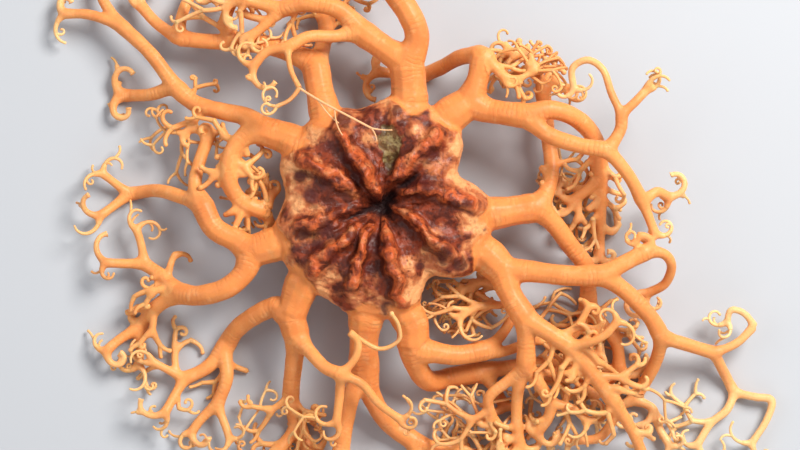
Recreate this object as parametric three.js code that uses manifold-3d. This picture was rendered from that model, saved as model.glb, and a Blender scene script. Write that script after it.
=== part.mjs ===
// A basket star, the brittle star whose five arms fork again and again, at life size in millimetres.
// It stands on its arms with its back up: +Z is up, and +Y is the top of the view from above.
import * as THREE from "three";
import { mergeVertices } from "three/addons/utils/BufferGeometryUtils.js";
import Module from "manifold-3d";

const wasm = await Module();
wasm.setup();

// Driving sizes of the disc.
const discRadius = 33.5; // centre to rim, over an arm
const rimTop = 24;
const rimBottom = 13.5;
const underside = 15.5; // flat of the mouth side
const crownHeight = 27; // skin between the ribs, at half radius
const centreHeight = 21.5; // where the ten ribs meet in a pit
const ribHeight = 3.6;
const ribWidth = 1.8;
const ribSag = 0.25; // of the rib's height, between the ribs
const ribRise = { from: 0.05, full: 0.4, falling: 0.72, to: 1 }; // shares of the way out
const mouthRadius = 8.5;
const mouthDepth = 4.5;
const mouthSlit = { depth: 0.7, halfAngle: 6, endAngle: 26 }; // the five slits of the mouth, one to each arm

// Driving sizes of the arms.
const armForkRadius = 21; // where each arm first forks, under the disc
const armRadius = 5.2;
const armHeight = 17;
const armAngles = [66, 137, 211, 268, 341]; // upper right, then anticlockwise
const ribSpreads = [15, 16, 15, 16, 18.5]; // each pair of ribs stands this far to either side of its arm
const notchDepths = [3.5, 4.5, 1.5, 8, 8.5]; // how far the rim draws in past each arm, anticlockwise
const notchStart = 0.42; // share of the way from an arm to the notch where the rim starts to draw in
const jointGap = 0.3; // between nodes that meet
const clearance = 0.45; // between branches that pass
const floorClearance = 0.4; // under a twig
const discClearance = { around: 1, above: 4 }; // between the disc and a twig
const footFlat = 0.25; // how much of a branch that lies on the floor is flattened
const stationStep = 1.1; // between the places where a branch is worked out
const centreShift = [-9.8, -1]; // puts the middle of the whole outline on the origin

const forkMiss = 0.7; // radii that a limb's rings may pass a fork by
const forkBack = 2.2; // radii back along a limb from where its forks seem to come

// A fork starts at most this share as thick as the limb it leaves, and this many times as thick as its own end.
const forkStart = { most: 0.9, forked: 1.2, plain: 1.35 };

// The twigs that go on forking from the routes' ends. Angles in degrees.
const twig = {
  tries: 14, // each shorter than the last, down to half
  nearRoot: { perRadius: 2.6, least: 1.2 }, // so near its fork a twig may touch what surrounds it
  twiceForkedFrom: 1.85, // an end thicker than this forks twice, a thinner one once
  leastRadius: 0.5,
  tipRadius: 0.38,
  strong: { heading: 22, share: 0.82 }, // of each pair, with the share of the thickness it keeps
  weak: { heading: 38, share: 0.7 },
  headingRange: 22,
  taper: 0.8,
  forkedLength: { least: 6, perRadius: 3.4 },
  forkedTurn: 30,
  tipLength: { least: 8, range: 6 },
  tipTurn: { least: 120, range: 160, curl: 1.6 },
  tipBack: 0.3, // how often a tip curls the other way
  climb: { range: 7, down: 0.35 },
};

const radians = THREE.MathUtils.degToRad;
const { smoothstep } = THREE.MathUtils;
const skin = new THREE.MeshStandardMaterial({ color: 0xe08a4a, roughness: 0.5, metalness: 0 });
const back = new THREE.MeshStandardMaterial({ color: 0x9a4a2c, roughness: 0.6, metalness: 0 });

// A closed three.js geometry as a solid, its shared vertices merged.
function solid(geometry) {
  geometry.deleteAttribute("normal");
  geometry.deleteAttribute("uv");
  const merged = mergeVertices(geometry, 1e-4);
  return new wasm.Manifold(
    new wasm.Mesh({
      numProp: 3,
      vertProperties: merged.attributes.position.array,
      triVerts: new Uint32Array(merged.index.array),
    }),
  );
}

// A repeatable random number from 0 to 1.
let seed = 1;
function random() {
  seed = (seed * 1664525 + 1013904223) % 4294967296;
  return seed / 4294967296;
}

// A branch of an arm. Its route is a few points in plan and height, [x, y, z] from the disc's centre and the floor,
// its radius is that of its end, and its forks grow from there. With a name it is a node of its own.
const limb = (name, route, radius, ...forks) => ({ name, route, radius, forks });

const arm1 = [
  limb("arm1_a", [[8, 36, 18], [7.5, 42, 19]], 4.6,
    limb("arm1_a_left", [[1, 47, 19], [-6, 52, 18]], 3.6,
      limb("arm1_a_left_outer", [[-12.5, 58.5, 19], [-21.5, 60.5, 19], [-30.5, 59, 16]], 2.4),
      limb("", [[-14, 50.7, 20], [-21.5, 50.5, 22], [-27.5, 47.5, 23]], 1.7,
        limb("", [[-27, 41, 26], [-24.3, 35, 29]], 0.8,
          limb("", [[-17.5, 30.7, 30.8], [-10, 26.7, 31.6], [-3, 23, 31.6]], 0.6),
          limb("", [[-27, 31.5, 29], [-31, 29.5, 28]], 0.6)),
        limb("", [[-34, 46, 22], [-38, 42, 21]], 1.3))),
    limb("arm1_a_right", [[10.5, 50, 21], [8, 57.5, 22], [3, 64.5, 20], [-0.5, 69.5, 18]], 3.5,
      limb("arm1_a_right_outer", [[-9.5, 76, 15], [-16, 81, 11]], 2.2),
      limb("", [[2, 80, 18], [8, 87, 14]], 2))),
  limb("arm1_b", [[17, 25, 17.5], [25, 30.5, 18]], 4.4,
    limb("arm1_b_up", [[28.2, 37, 19], [30, 44.5, 19]], 3.1,
      limb("arm1_b_up_back", [[24, 45, 13], [17.5, 42, 6], [11, 39.5, 0]], 2.2),
      limb("", [[33, 42, 20], [36.5, 38.5, 21]], 1.3)),
    limb("arm1_b_right", [[32.5, 28.5, 19], [42.5, 27, 22]], 3.5,
      limb("arm1_b_right_over", [[50, 28.8, 22], [58, 26.2, 19], [63.7, 20, 15], [65.5, 10, 10]], 2.6,
        limb("", [[62, 5.5, 10], [57.5, 2, 8]], 1.5),
        limb("arm1_b_right_hanging", [[66, -1, 7], [66, -10, 1.5], [66, -15, 0]], 1.5)),
      limb("arm1_b_right_under", [[49, 21.5, 23], [58, 18.3, 24], [66.3, 16.8, 24]], 2.3,
        limb("arm1_b_right_rising", [[70.5, 22.5, 24], [71, 27, 24]], 1.7,
          limb("", [[68, 33.5, 24], [65.5, 40.5, 24], [61, 43.5, 23], [56.5, 41, 22], [57, 35, 21]], 0.9),
          limb("", [[75, 31, 24], [78.3, 34.5, 23]], 1.2)),
        limb("arm1_b_right_falling", [[73, 9.6, 22], [77.4, 2, 19]], 1.9,
          limb("", [[79.5, -3, 18], [81.5, -8, 17]], 1.3),
          limb("", [[82, 4.5, 17], [85.5, 3, 14]], 1.4))))),
];

const arm5 = [
  limb("arm5_a", [[-17, 27.5, 17.5], [-18.6, 35, 16], [-19.8, 41.7, 14]], 3.8,
    limb("arm5_a_up", [[-18, 48, 9], [-17, 55, 5], [-20, 63, 1], [-22, 68, 0]], 2.3,
      limb("", [[-28, 75, 4]], 1.8),
      limb("", [[-20, 76, 5]], 1.6)),
    limb("arm5_a_left", [[-26, 45.6, 13], [-34, 48.6, 11], [-44, 49.5, 10]], 2.8,
      limb("arm5_a_left_outer", [[-54, 50, 9], [-61, 51, 8]], 2.3,
        limb("", [[-68, 55.5, 7], [-73, 61, 5]], 1.6),
        limb("", [[-60, 59, 7], [-57, 66, 5]], 1.6)),
      limb("", [[-47, 55, 12], [-45, 62, 13]], 1.7))),
  limb("arm5_b", [[-26, 19.5, 17.5], [-36, 23, 17]], 4,
    limb("arm5_b_curl", [[-42.6, 19.5, 18], [-45.6, 13.5, 18], [-45.3, 6.6, 17], [-41.7, 1.5, 15], [-36, -1, 13]], 2.4,
      limb("", [[-33, 4, 12]], 1.3),
      limb("", [[-33, -5, 10]], 1.2)),
    limb("arm5_b_left", [[-41, 27, 15], [-47, 28.5, 13], [-56, 31, 11], [-62, 36, 10]], 2.5,
      limb("arm5_b_left_outer", [[-69.5, 46, 10], [-78.5, 54.5, 8]], 2.1,
        limb("", [[-84, 62, 6], [-87, 70, 4]], 1.5),
        limb("", [[-88, 58, 7], [-96, 58.5, 5]], 1.4)),
      limb("arm5_b_left_low", [[-70, 34, 6], [-79, 34, 0]], 1.8))),
];

const arm4 = [
  limb("arm4_a", [[-27, -10, 17.5], [-38, -13, 17]], 4.2,
    limb("arm4_a_up", [[-43.5, -10, 17], [-50, -6.3, 17], [-53.7, 0.6, 16]], 3.2,
      limb("", [[-56, 6.6, 14], [-54.6, 14, 12], [-52.5, 20, 11]], 1.8),
      limb("arm4_a_up_left", [[-60, 3, 12], [-68, 5, 6], [-77, 4, 0]], 1.9)),
    limb("arm4_a_down", [[-41, -19.5, 18], [-46.5, -24.3, 18], [-54.6, -26.5, 15], [-60.6, -26, 11]], 3,
      limb("arm4_a_down_outer", [[-68, -30, 7], [-74, -37, 0]], 2.1),
      limb("", [[-66, -21, 8], [-72, -17, 6]], 1.9))),
  limb("arm4_b", [[-23, -21, 17.5], [-27, -31.5, 16]], 4.2,
    limb("", [[-26.5, -35, 15.5], [-25.5, -38.5, 15]], 3.6,
      limb("arm4_b_down_left", [[-26.5, -47.4, 12], [-27.5, -58, 7], [-25.5, -66, 0]], 2.5,
        limb("", [[-22, -74, 3]], 1.9),
        limb("", [[-31, -73, 5]], 1.7)),
      limb("arm4_b_down_right", [[-21.5, -43, 19], [-17, -47.5, 22], [-12.5, -49.5, 23]], 1.9,
        limb("", [[-8, -45, 24], [-7, -40, 25], [-9.5, -37, 26]], 1,
          limb("", [[-1, -42, 24], [5, -39.5, 25.5], [5, -35, 27.5], [3, -31.5, 29.5]], 0.6)),
        limb("", [[-12.5, -55, 20], [-13.5, -64, 18]], 1.2),
        limb("", [[-6, -52.5, 22], [-1, -58.5, 19], [5.5, -63.5, 16]], 1.1))),
    limb("arm4_b_left", [[-32, -30, 14], [-38, -32.5, 11], [-44, -37, 6], [-48, -43, 0]], 2.7,
      limb("", [[-53, -48.5, 3], [-60, -52, 3]], 1.9),
      limb("", [[-47, -51.5, 5], [-50, -60, 4]], 1.9))),
];

const arm3 = [
  limb("arm3_a", [[-4.5, -32, 17], [-5.4, -41.5, 14.5], [-5.4, -49.5, 12]], 4.2,
    limb("arm3_a_left", [[-9, -56.5, 12], [-11, -65.4, 11], [-12.5, -74.5, 10]], 2.4,
      limb("", [[-18, -82, 8]], 1.7),
      limb("", [[-8.5, -84, 7]], 1.7)),
    limb("arm3_a_right", [[-3, -57.3, 9], [2, -65.5, 4], [9, -70.5, 0]], 2.8,
      limb("arm3_a_right_outer", [[17.5, -74, 4], [25, -79, 5]], 2),
      limb("", [[11.5, -79, 4], [13, -86, 5]], 1.9))),
  limb("arm3_b", [[8.4, -34, 17], [9.3, -41.5, 16]], 4.4,
    limb("arm3_b_right", [[16, -43.5, 15], [23, -44.4, 13], [31, -43, 11]], 2.9,
      limb("arm3_b_right_up", [[35.5, -39, 9], [38.5, -34.5, 8], [39.3, -30, 7]], 1.5,
        limb("", [[36, -25, 7], [30, -22.5, 8], [24.5, -25, 9]], 1),
        limb("", [[34.5, -29.5, 10], [28.5, -30, 12], [23.5, -33, 12]], 1)),
      limb("", [[36, -43.5, 10], [41, -42, 9], [46, -40, 9]], 1.4)),
    limb("arm3_b_down", [[10.8, -48.5, 12], [14.5, -52.5, 7], [21, -51.5, 2], [30, -50, 0]], 3,
      limb("arm3_b_down_outer", [[39, -48.5, 2], [49, -47.5, 2.5], [56, -49, 3]], 2),
      limb("", [[34, -55, 3], [37, -60, 4]], 1.6))),
];

const arm2 = [
  limb("arm2_a", [[27.5, -11, 17], [35.4, -18.3, 17.5]], 4.3,
    limb("arm2_a_right", [[44.4, -19.2, 19], [55, -20.4, 20], [65, -20.4, 20]], 3,
      limb("arm2_a_right_up", [[71.4, -17.1, 20], [78.3, -13.5, 19]], 2.4,
        limb("", [[84, -14, 18], [86.6, -17.7, 15], [85, -23, 11], [80, -26, 8]], 1.3),
        limb("", [[80, -10, 20], [77, -8.5, 21], [75, -11, 20]], 0.9)),
      limb("arm2_a_right_down", [[73, -25.5, 18], [80, -32.7, 16], [83.4, -38.4, 14]], 2.5,
        limb("arm2_a_right_outer", [[91.8, -41.4, 11], [99.6, -43.8, 8]], 1.9,
          limb("", [[106.8, -41, 8], [112, -36, 8]], 1.2,
            limb("", [[109, -32, 9], [105, -31, 9], [104, -34.5, 8]], 0.8)),
          limb("arm2_a_right_end", [[103.2, -49.5, 4], [106.8, -56, 0]], 1.5,
            limb("", [[113, -57.5, 3], [118, -58.5, 3], [116.5, -64.5, 3], [112, -71.5, 3]], 1),
            limb("", [[104.4, -61.5, 3], [99.6, -65.5, 3], [95.5, -72, 3]], 1.1))),
        limb("arm2_a_right_low", [[82.8, -45.3, 9], [79.8, -52.5, 4], [76.5, -58, 0]], 1.9,
          limb("", [[82, -61, 3], [84, -67, 3], [87, -72, 4]], 1.1),
          limb("", [[71, -61, 3]], 1.2)))),
    limb("arm2_a_down", [[38, -25.5, 19], [42.3, -32.7, 20]], 3.4,
      limb("arm2_a_down_right", [[49, -37, 20], [55.2, -41, 19]], 2.5,
        limb("arm2_a_down_outer", [[62.4, -49.5, 17], [69.6, -58.5, 14]], 2.2,
          limb("", [[75, -67, 11], [79, -76, 8], [80.5, -84, 6]], 1.5),
          limb("", [[69, -64.5, 11], [65, -69.5, 9], [57, -70.5, 7]], 1.3)),
        limb("", [[61, -40.5, 22], [66, -38, 24], [69.5, -34, 25]], 1.1)),
      limb("arm2_a_down_left", [[43, -40, 18], [43, -47, 16]], 2.6,
        limb("", [[37.8, -52, 14], [32, -57.3, 12], [33.3, -64, 9]], 1.5),
        limb("", [[40.8, -55, 13], [40.5, -64, 10], [41.5, -72, 8]], 1.6),
        limb("arm2_a_down_fork", [[46.8, -52.5, 15], [50.7, -58.5, 13]], 1.8,
          limb("", [[49.8, -63.5, 11], [46.8, -67.5, 9]], 1.6),
          limb("", [[57, -60.3, 13], [61.5, -64, 12]], 1.1))))),
  limb("arm2_b", [[31, -2.5, 17], [37, -1.5, 16], [45, -0.3, 15]], 4,
    limb("arm2_b_up", [[49.5, 5, 13], [51, 12.6, 10], [50, 21.6, 8], [49.2, 29.5, 8], [48.3, 34.5, 9]], 2.2,
      limb("", [[47, 40.5, 11], [44, 44.5, 12], [38, 47, 12]], 1.1),
      limb("", [[52, 37, 10], [55, 36, 10]], 1)),
    limb("arm2_b_down", [[51, -4.5, 13], [56.4, -11.4, 10], [61.5, -18, 7], [62.4, -25, 3], [62.4, -30.3, 0]], 2.6,
      limb("", [[60, -36, 3], [55, -42, 2]], 1.5),
      limb("arm2_b_down_outer", [[67, -36, 4], [71, -41.5, 4], [72, -49, 3]], 1.8))),
];

// The rim's radius in the direction of angle, in degrees from +X. It bulges over each arm and draws in between.
function rim(angle) {
  const next = armAngles.findIndex((a) => (angle % 360) < a);
  const after = next < 0 ? 0 : next;
  const before = (after + armAngles.length - 1) % armAngles.length;
  const span = (armAngles[after] - armAngles[before] + 360) % 360;
  const share = ((angle - armAngles[before] + 720) % 360) / span;
  return discRadius - notchDepths[before] * smoothstep(1 - Math.abs(2 * share - 1), notchStart, 1);
}

// The ten ribs' directions, anticlockwise from the first.
const ribAngles = armAngles
  .flatMap((a, i) => [a - ribSpreads[i], a + ribSpreads[i]])
  .map((a) => (a + 360) % 360)
  .sort((a, b) => a - b);

// How far out across the disc, from 0 to 1, and at what height each ring of the disc's skin lies, from the crown
// round the rim to the mouth.
const discRings = [
  [0, centreHeight], [0.08, centreHeight], [0.17, centreHeight + 1.8], [0.3, centreHeight + 4], [0.45, crownHeight],
  [0.62, crownHeight], [0.8, crownHeight - 1], [0.94, rimTop - 0.8],
  [1, (rimTop + rimBottom) / 2], [0.95, rimBottom + 1], [0.6, underside],
  [mouthRadius / discRadius, underside], [0.19, underside + 0.6], [0.08, underside + 1.5], [0, underside + mouthDepth],
];
const rimRing = discRings.findIndex(([share]) => share === 1);
const ribColumns = [0, 0.13, 0.3, 0.7, 0.87]; // shares of the way from one rib to the next

// How many degrees it is to the nearest of the directions.
const offNearest = (angle, directions) =>
  Math.min(...directions.map((a) => Math.abs(((angle - a + 540) % 360) - 180)));

// The disc: a sphere's grid, with a column on each rib, drawn out to the rings above.
function disc() {
  const columns = ribAngles.length * ribColumns.length;
  const geometry = new THREE.SphereGeometry(1, columns, discRings.length - 1);
  const position = geometry.attributes.position;
  for (let i = 0; i < position.count; i++) {
    const column = i % (columns + 1);
    const ring = Math.floor(i / (columns + 1));
    const rib = Math.floor(column / ribColumns.length) % ribAngles.length;
    const gap = (ribAngles[(rib + 1) % ribAngles.length] - ribAngles[rib] + 360) % 360;
    const angle = (ribAngles[rib] + gap * ribColumns[column % ribColumns.length]) % 360;
    const [share, height] = discRings[ring];
    const out = share * rim(angle);
    let z = height;
    if (ring < rimRing) {
      const aside = (out * Math.sin(radians(Math.min(offNearest(angle, ribAngles), 90)))) / ribWidth;
      const rise = smoothstep(share, ribRise.from, ribRise.full) * (1 - smoothstep(share, ribRise.falling, ribRise.to));
      z += ribHeight * rise * (Math.exp(-aside * aside) - ribSag);
    } else if (share > 0 && share < mouthRadius / discRadius) {
      const offArm = offNearest(angle, armAngles);
      z += mouthDepth * mouthSlit.depth * (1 - smoothstep(offArm, mouthSlit.halfAngle, mouthSlit.endAngle));
    }
    position.setXYZ(i, out * Math.cos(radians(angle)), out * Math.sin(radians(angle)), z);
  }
  return solid(geometry);
}

// A station of a limb holds a point on its centre line, the direction there and the radius. The centre line runs
// smoothly from the first point of the route, as if it came from the point before, and keeps above the floor.
function stationsOf(before, route, startRadius, endRadius) {
  const last = route.length - 1;
  const knots = [before, ...route, route[last].map((v, k) => 2 * v - route[last - 1][k])];
  const points = [];
  for (let i = 0; i < last; i++) {
    const [a, b, c, d] = knots.slice(i, i + 4).map((k) => new THREE.Vector3(...k));
    const curve = new THREE.CatmullRomCurve3([a, b, c, d], false, "catmullrom", 0.5);
    const pieces = Math.max(2, Math.round(b.distanceTo(c) / stationStep));
    for (let n = 0; n < pieces; n++) {
      points.push(curve.getPoint((1 + n / pieces) / 3));
    }
  }
  points.push(new THREE.Vector3(...route[last]));
  const radii = points.map((p, i) => startRadius + (endRadius - startRadius) * Math.sqrt(i / (points.length - 1)));
  points.forEach((p, i) => p.setZ(Math.max(p.z, radii[i] - footFlat)));
  return withDirections(points, radii);
}

function withDirections(points, radii) {
  return points.map((point, i) => {
    const from = points[Math.max(i - 1, 0)];
    const to = points[Math.min(i + 1, points.length - 1)];
    return { point, radius: radii[i], direction: to.clone().sub(from).normalize() };
  });
}

const placed = []; // every station so far
const limbs = []; // every limb with its stations and nodes

// Limbs leave a fork as if they came from a step back, so that each turns half of its angle there.
function place(spec, node, from, before, startRadius) {
  const stations = stationsOf(before, [from, ...spec.route], startRadius, spec.radius);
  const made = { stations, node: spec.name || node, parentNode: node, forks: [], isTwig: false };
  limbs.push(made);
  placed.push(...stations);
  const end = stations[stations.length - 1];
  const back = stations[Math.max(0, stations.length - 1 - Math.round((forkBack * end.radius) / stationStep))];
  end.isFork = true;
  made.forks = spec.forks.map((fork) => {
    const most = fork.radius * (fork.forks.length ? forkStart.forked : forkStart.plain);
    const start = Math.min(end.radius * forkStart.most, most);
    return place(fork, made.node, end.point.toArray(), back.point.toArray(), start);
  });
  return made;
}

const rimAt = (p) => rim(THREE.MathUtils.radToDeg(Math.atan2(p.y, p.x)) + 360);

// Whether a twig keeps clear of the disc, the floor and everything placed, apart from what surrounds its fork.
function isClear(stations, root, nearRoot) {
  return stations.every(({ point, radius }) => {
    const overDisc = Math.hypot(point.x, point.y) < rimAt(point) + radius + discClearance.around;
    if (point.z < radius + floorClearance) return false;
    if (overDisc && point.z < crownHeight + radius + discClearance.above) return false;
    const leaving = point.distanceTo(root) < nearRoot;
    return placed.every((other) => {
      if (point.distanceToSquared(other.point) > (radius + other.radius + clearance) ** 2) return true;
      return leaving && other.point.distanceTo(root) < nearRoot;
    });
  });
}

// Stations of a twig that leaves its root at a heading and bends by turn on its way.
function twigStations(root, plan) {
  const steps = Math.max(4, Math.round(plan.length / stationStep));
  const points = [root.clone()];
  const radii = [plan.startRadius];
  for (let i = 1; i <= steps; i++) {
    const heading = plan.heading + plan.turn * (i / steps) ** plan.curl;
    const step = new THREE.Vector3(Math.cos(heading), Math.sin(heading), plan.climb / plan.length);
    points.push(points[i - 1].clone().addScaledVector(step, plan.length / steps));
    radii.push(plan.startRadius + (plan.endRadius - plan.startRadius) * (i / steps));
  }
  return withDirections(points, radii);
}

// Twigs that go on forking from the end of a limb, each pair one strong and one weak, until they curl up as tips.
function growTwigs(made, levels, side) {
  const end = made.stations[made.stations.length - 1];
  end.isFork = true;
  const ahead = Math.atan2(end.direction.y, end.direction.x);
  const isTip = levels === 1;
  for (const kind of [twig.strong, twig.weak]) {
    const way = kind === twig.strong ? side : -side;
    const startRadius = Math.max(twig.leastRadius, end.radius * kind.share);
    for (let attempt = 0; attempt < twig.tries; attempt++) {
      const shrink = 1 - (0.5 * attempt) / twig.tries;
      const heading = ahead + way * radians(kind.heading + twig.headingRange * random());
      const length = isTip
        ? twig.tipLength.least + twig.tipLength.range * random()
        : twig.forkedLength.least + twig.forkedLength.perRadius * startRadius;
      const turn = isTip
        ? (twig.tipTurn.least + twig.tipTurn.range * random()) * (random() < twig.tipBack ? -way : way)
        : -way * twig.forkedTurn * random();
      const stations = twigStations(end.point, {
        heading,
        length: length * shrink,
        turn: radians(turn),
        climb: (random() - twig.climb.down) * twig.climb.range * shrink,
        curl: isTip ? twig.tipTurn.curl : 1,
        startRadius,
        endRadius: isTip ? twig.tipRadius : Math.max(twig.leastRadius, startRadius * twig.taper),
      });
      if (!isClear(stations.slice(1), end.point, twig.nearRoot.perRadius * end.radius + twig.nearRoot.least)) continue;
      const grown = { stations, node: made.node, parentNode: made.node, forks: [], isTwig: true };
      made.forks.push(grown);
      limbs.push(grown);
      placed.push(...stations);
      if (!isTip) growTwigs(grown, levels - 1, -way);
      break;
    }
  }
}

// The five arms from under the disc, then their twigs.
const armTrees = [arm1, arm5, arm4, arm3, arm2];
const trunks = armTrees.map((primaries, i) => {
  const angle = radians(armAngles[i]);
  const along = (distance) => [distance * Math.cos(angle), distance * Math.sin(angle), armHeight];
  const trunk = limb("disc", [along(armForkRadius)], armRadius, ...primaries);
  return place(trunk, "disc", along(mouthRadius + 2), along(0), armRadius * 0.8);
});
limbs.filter((l) => !l.forks.length).forEach((leaf, i) => {
  seed = 77 + 31 * i;
  const end = leaf.stations[leaf.stations.length - 1];
  growTwigs(leaf, end.radius > twig.twiceForkedFrom ? 2 : 1, i % 2 ? 1 : -1);
});

// From which radius up a limb has how many sides, and how far it may bend between two rings, in radians.
const sideSteps = [[3.3, 8], [1.5, 6], [1.2, 5], [0.7, 4], [0, 3]];
const bendSteps = [[2, 0.5], [1.2, 0.67], [0, 0.97]];
const longestRing = { perRadius: 8, least: 4 }; // how far a limb runs straight without a ring
const stepFor = (steps, radius) => steps.find(([from]) => radius > from)[1];

// The stations that a limb's rings are built on: where it has bent enough or run straight long enough, and at a fork
// that the rings to either side would pass by.
function ringStations(stations) {
  const kept = [0];
  const last = stations.length - 1;
  for (let i = 1; i < last; i++) {
    const { point, direction, radius } = stations[i];
    const previous = stations[kept[kept.length - 1]];
    const gone = point.distanceTo(previous.point);
    if (point.distanceTo(stations[last].point) < radius || gone < radius) continue;
    const straight = longestRing.perRadius * radius + longestRing.least;
    if (direction.angleTo(previous.direction) > stepFor(bendSteps, radius) || gone > straight) kept.push(i);
  }
  kept.push(last);
  const chord = new THREE.Line3();
  const nearest = new THREE.Vector3();
  const forks = stations.keys().filter((i) => {
    if (!stations[i].isFork || kept.includes(i)) return false;
    const after = kept.findIndex((k) => k > i);
    if (after < 1) return false;
    chord.set(stations[kept[after - 1]].point, stations[kept[after]].point);
    chord.closestPointToPoint(stations[i].point, true, nearest);
    return nearest.distanceTo(stations[i].point) > forkMiss * stations[i].radius;
  });
  return [...kept, ...forks].sort((a, b) => a - b).map((i) => stations[i]);
}

const domeRings = [[0.6, 0.8], [0.95, 0.32]]; // of a limb's end: radii ahead of it, and share of its thickness

// A closed tapered tube: a cylinder's rings carried along the stations, the end flat or a dome.
function tube(stations, domed) {
  const rings = ringStations(stations);
  const end = rings[rings.length - 1];
  for (const [ahead, share] of domed ? domeRings : []) {
    const point = end.point.clone().addScaledVector(end.direction, end.radius * ahead);
    rings.push({ point, direction: end.direction, radius: end.radius * share });
  }
  const sides = stepFor(sideSteps, stations[0].radius);
  const fullness = Math.sqrt((2 * Math.PI) / sides / Math.sin((2 * Math.PI) / sides)); // gives it a circle's area
  const geometry = new THREE.CylinderGeometry(fullness, fullness, 1, sides, rings.length - 1);
  const position = geometry.attributes.position;
  const normal = new THREE.Vector3(0, 0, 1).cross(rings[0].direction);
  const frames = rings.map(({ direction }) => {
    normal.addScaledVector(direction, -normal.dot(direction)).normalize();
    return [normal.clone(), direction.clone().cross(normal)];
  });
  for (let i = 0; i < position.count; i++) {
    const ring = Math.round((0.5 - position.getY(i)) * (rings.length - 1));
    const { point, radius } = rings[ring];
    const [across, up] = frames[ring];
    const at = point.clone()
      .addScaledVector(across, position.getX(i) * radius)
      .addScaledVector(up, position.getZ(i) * radius);
    position.setXYZ(i, at.x, at.y, at.z);
  }
  return solid(geometry);
}

// How far from its parent's fork, the rim and its siblings a limb that starts a node is cut from its parent.
const cutClear = { fork: 0.8, ofRadius: 0.6, rim: 2.2, sibling: 0.9 };

function cutIndex(made, siblings, parent) {
  const parentEnd = parent.stations[parent.stations.length - 1];
  const found = made.stations.findIndex(({ point, radius }) => {
    if (point.distanceTo(parentEnd.point) < parentEnd.radius + cutClear.ofRadius * radius + cutClear.fork) return false;
    if (parent.node === "disc" && Math.hypot(point.x, point.y) < rimAt(point) + cutClear.rim) return false;
    return siblings.every((other) => other === made || other.stations.every((s) =>
      s.point.distanceTo(point) > radius + s.radius + cutClear.sibling));
  });
  if (found < 0 || found > made.stations.length - 3) throw new Error("no clear place to cut " + made.node);
  return found;
}

const pieces = new Map(); // each node's solids
const addPiece = (node, piece) => pieces.set(node, [...(pieces.get(node) ?? []), piece]);
const shifted = (station, distance) =>
  ({ ...station, point: station.point.clone().addScaledVector(station.direction, distance) });

// A limb's tube runs on into the first of its forks in the same node, and each other fork is rooted in it.
function build(made, siblings, parent) {
  let stations = [...made.stations];
  if (parent && made.node !== made.parentNode) {
    const cut = cutIndex(made, siblings, parent);
    addPiece(made.parentNode, tube([...stations.slice(0, cut), shifted(stations[cut], -jointGap / 2)], false));
    stations = [shifted(stations[cut], jointGap / 2), ...stations.slice(cut + 1)];
  }
  let last = made;
  for (;;) {
    const next = last.forks.find((fork) => fork.node === made.node);
    last.forks.filter((fork) => fork !== next).forEach((fork) => build(fork, last.forks, last));
    if (!next) break;
    stations.push(...next.stations.slice(1));
    last = next;
  }
  addPiece(made.node, tube(stations, !last.isTwig));
}
addPiece("disc", disc());
trunks.forEach((trunk) => build(trunk, [trunk], null));

// Each node is one body: its pieces joined, cut level with the floor, and only its largest surface kept.
const below = solid(new THREE.BoxGeometry(400, 400, 20).translate(0, 0, -10)); // wider than the arms reach
const basketStar = new THREE.Group();
for (const [name, solids] of pieces) {
  const joined = solids.reduce((sum, piece) => sum.add(piece)).subtract(below);
  const body = joined.decompose().sort((a, b) => b.volume() - a.volume())[0];
  const { vertProperties, triVerts } = body.getMesh();
  const geometry = new THREE.BufferGeometry();
  geometry.setAttribute("position", new THREE.BufferAttribute(vertProperties, 3));
  geometry.setIndex(new THREE.BufferAttribute(triVerts, 1));
  const mesh = new THREE.Mesh(geometry, name === "disc" ? back : skin);
  mesh.name = name;
  basketStar.add(mesh);
}
basketStar.position.set(centreShift[0], centreShift[1], 0);

export default basketStar;
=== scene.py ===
# A basket star, the brittle star whose five arms fork again and again, as a still life-size model.
import math
import random

import bmesh
import bpy
from mathutils import Matrix, Vector, noise
from mathutils.kdtree import KDTree


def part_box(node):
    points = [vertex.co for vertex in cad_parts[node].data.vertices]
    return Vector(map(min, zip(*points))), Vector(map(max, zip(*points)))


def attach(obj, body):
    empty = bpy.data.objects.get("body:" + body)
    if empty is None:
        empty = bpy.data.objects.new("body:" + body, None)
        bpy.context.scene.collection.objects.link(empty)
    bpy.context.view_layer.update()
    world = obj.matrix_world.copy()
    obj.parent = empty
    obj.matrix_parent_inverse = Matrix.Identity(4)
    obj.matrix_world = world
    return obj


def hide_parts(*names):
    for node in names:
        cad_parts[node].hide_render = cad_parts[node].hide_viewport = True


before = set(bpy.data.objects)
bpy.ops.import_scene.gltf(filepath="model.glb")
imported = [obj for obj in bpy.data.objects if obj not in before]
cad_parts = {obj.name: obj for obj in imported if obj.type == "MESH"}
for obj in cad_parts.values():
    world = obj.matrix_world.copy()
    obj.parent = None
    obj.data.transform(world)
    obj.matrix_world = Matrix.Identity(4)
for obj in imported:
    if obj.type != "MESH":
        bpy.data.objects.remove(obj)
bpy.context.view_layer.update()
nodeBoxes = [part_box(name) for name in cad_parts]
mm = 0.001  # everything is worked out in millimetres from the disc's centre, and brought to the frame at the end

disc = {
    "radius": 33.5,  # centre to rim, over an arm
    "armAngles": [66, 137, 211, 268, 341],  # upper right, then anticlockwise
    "notchDepths": [3.5, 4.5, 1.5, 8, 8.5],  # how far the rim draws in past each arm
    "crownHeight": 27,
    "outline": [  # share of the way out and height, from the crown round the rim to the mouth
        (0, 20.2), (0.08, 20.8), (0.17, 23.1), (0.3, 25.5), (0.45, 26.9), (0.62, 27), (0.8, 26), (0.94, 23),
        (1, 18.75), (0.95, 14.4), (0.6, 15.4), (0.254, 15.5), (0.19, 15.8), (0.08, 16), (0, 16.1)],
    "centre": (-9.8, -1),  # of the disc in the frame
}

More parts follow.
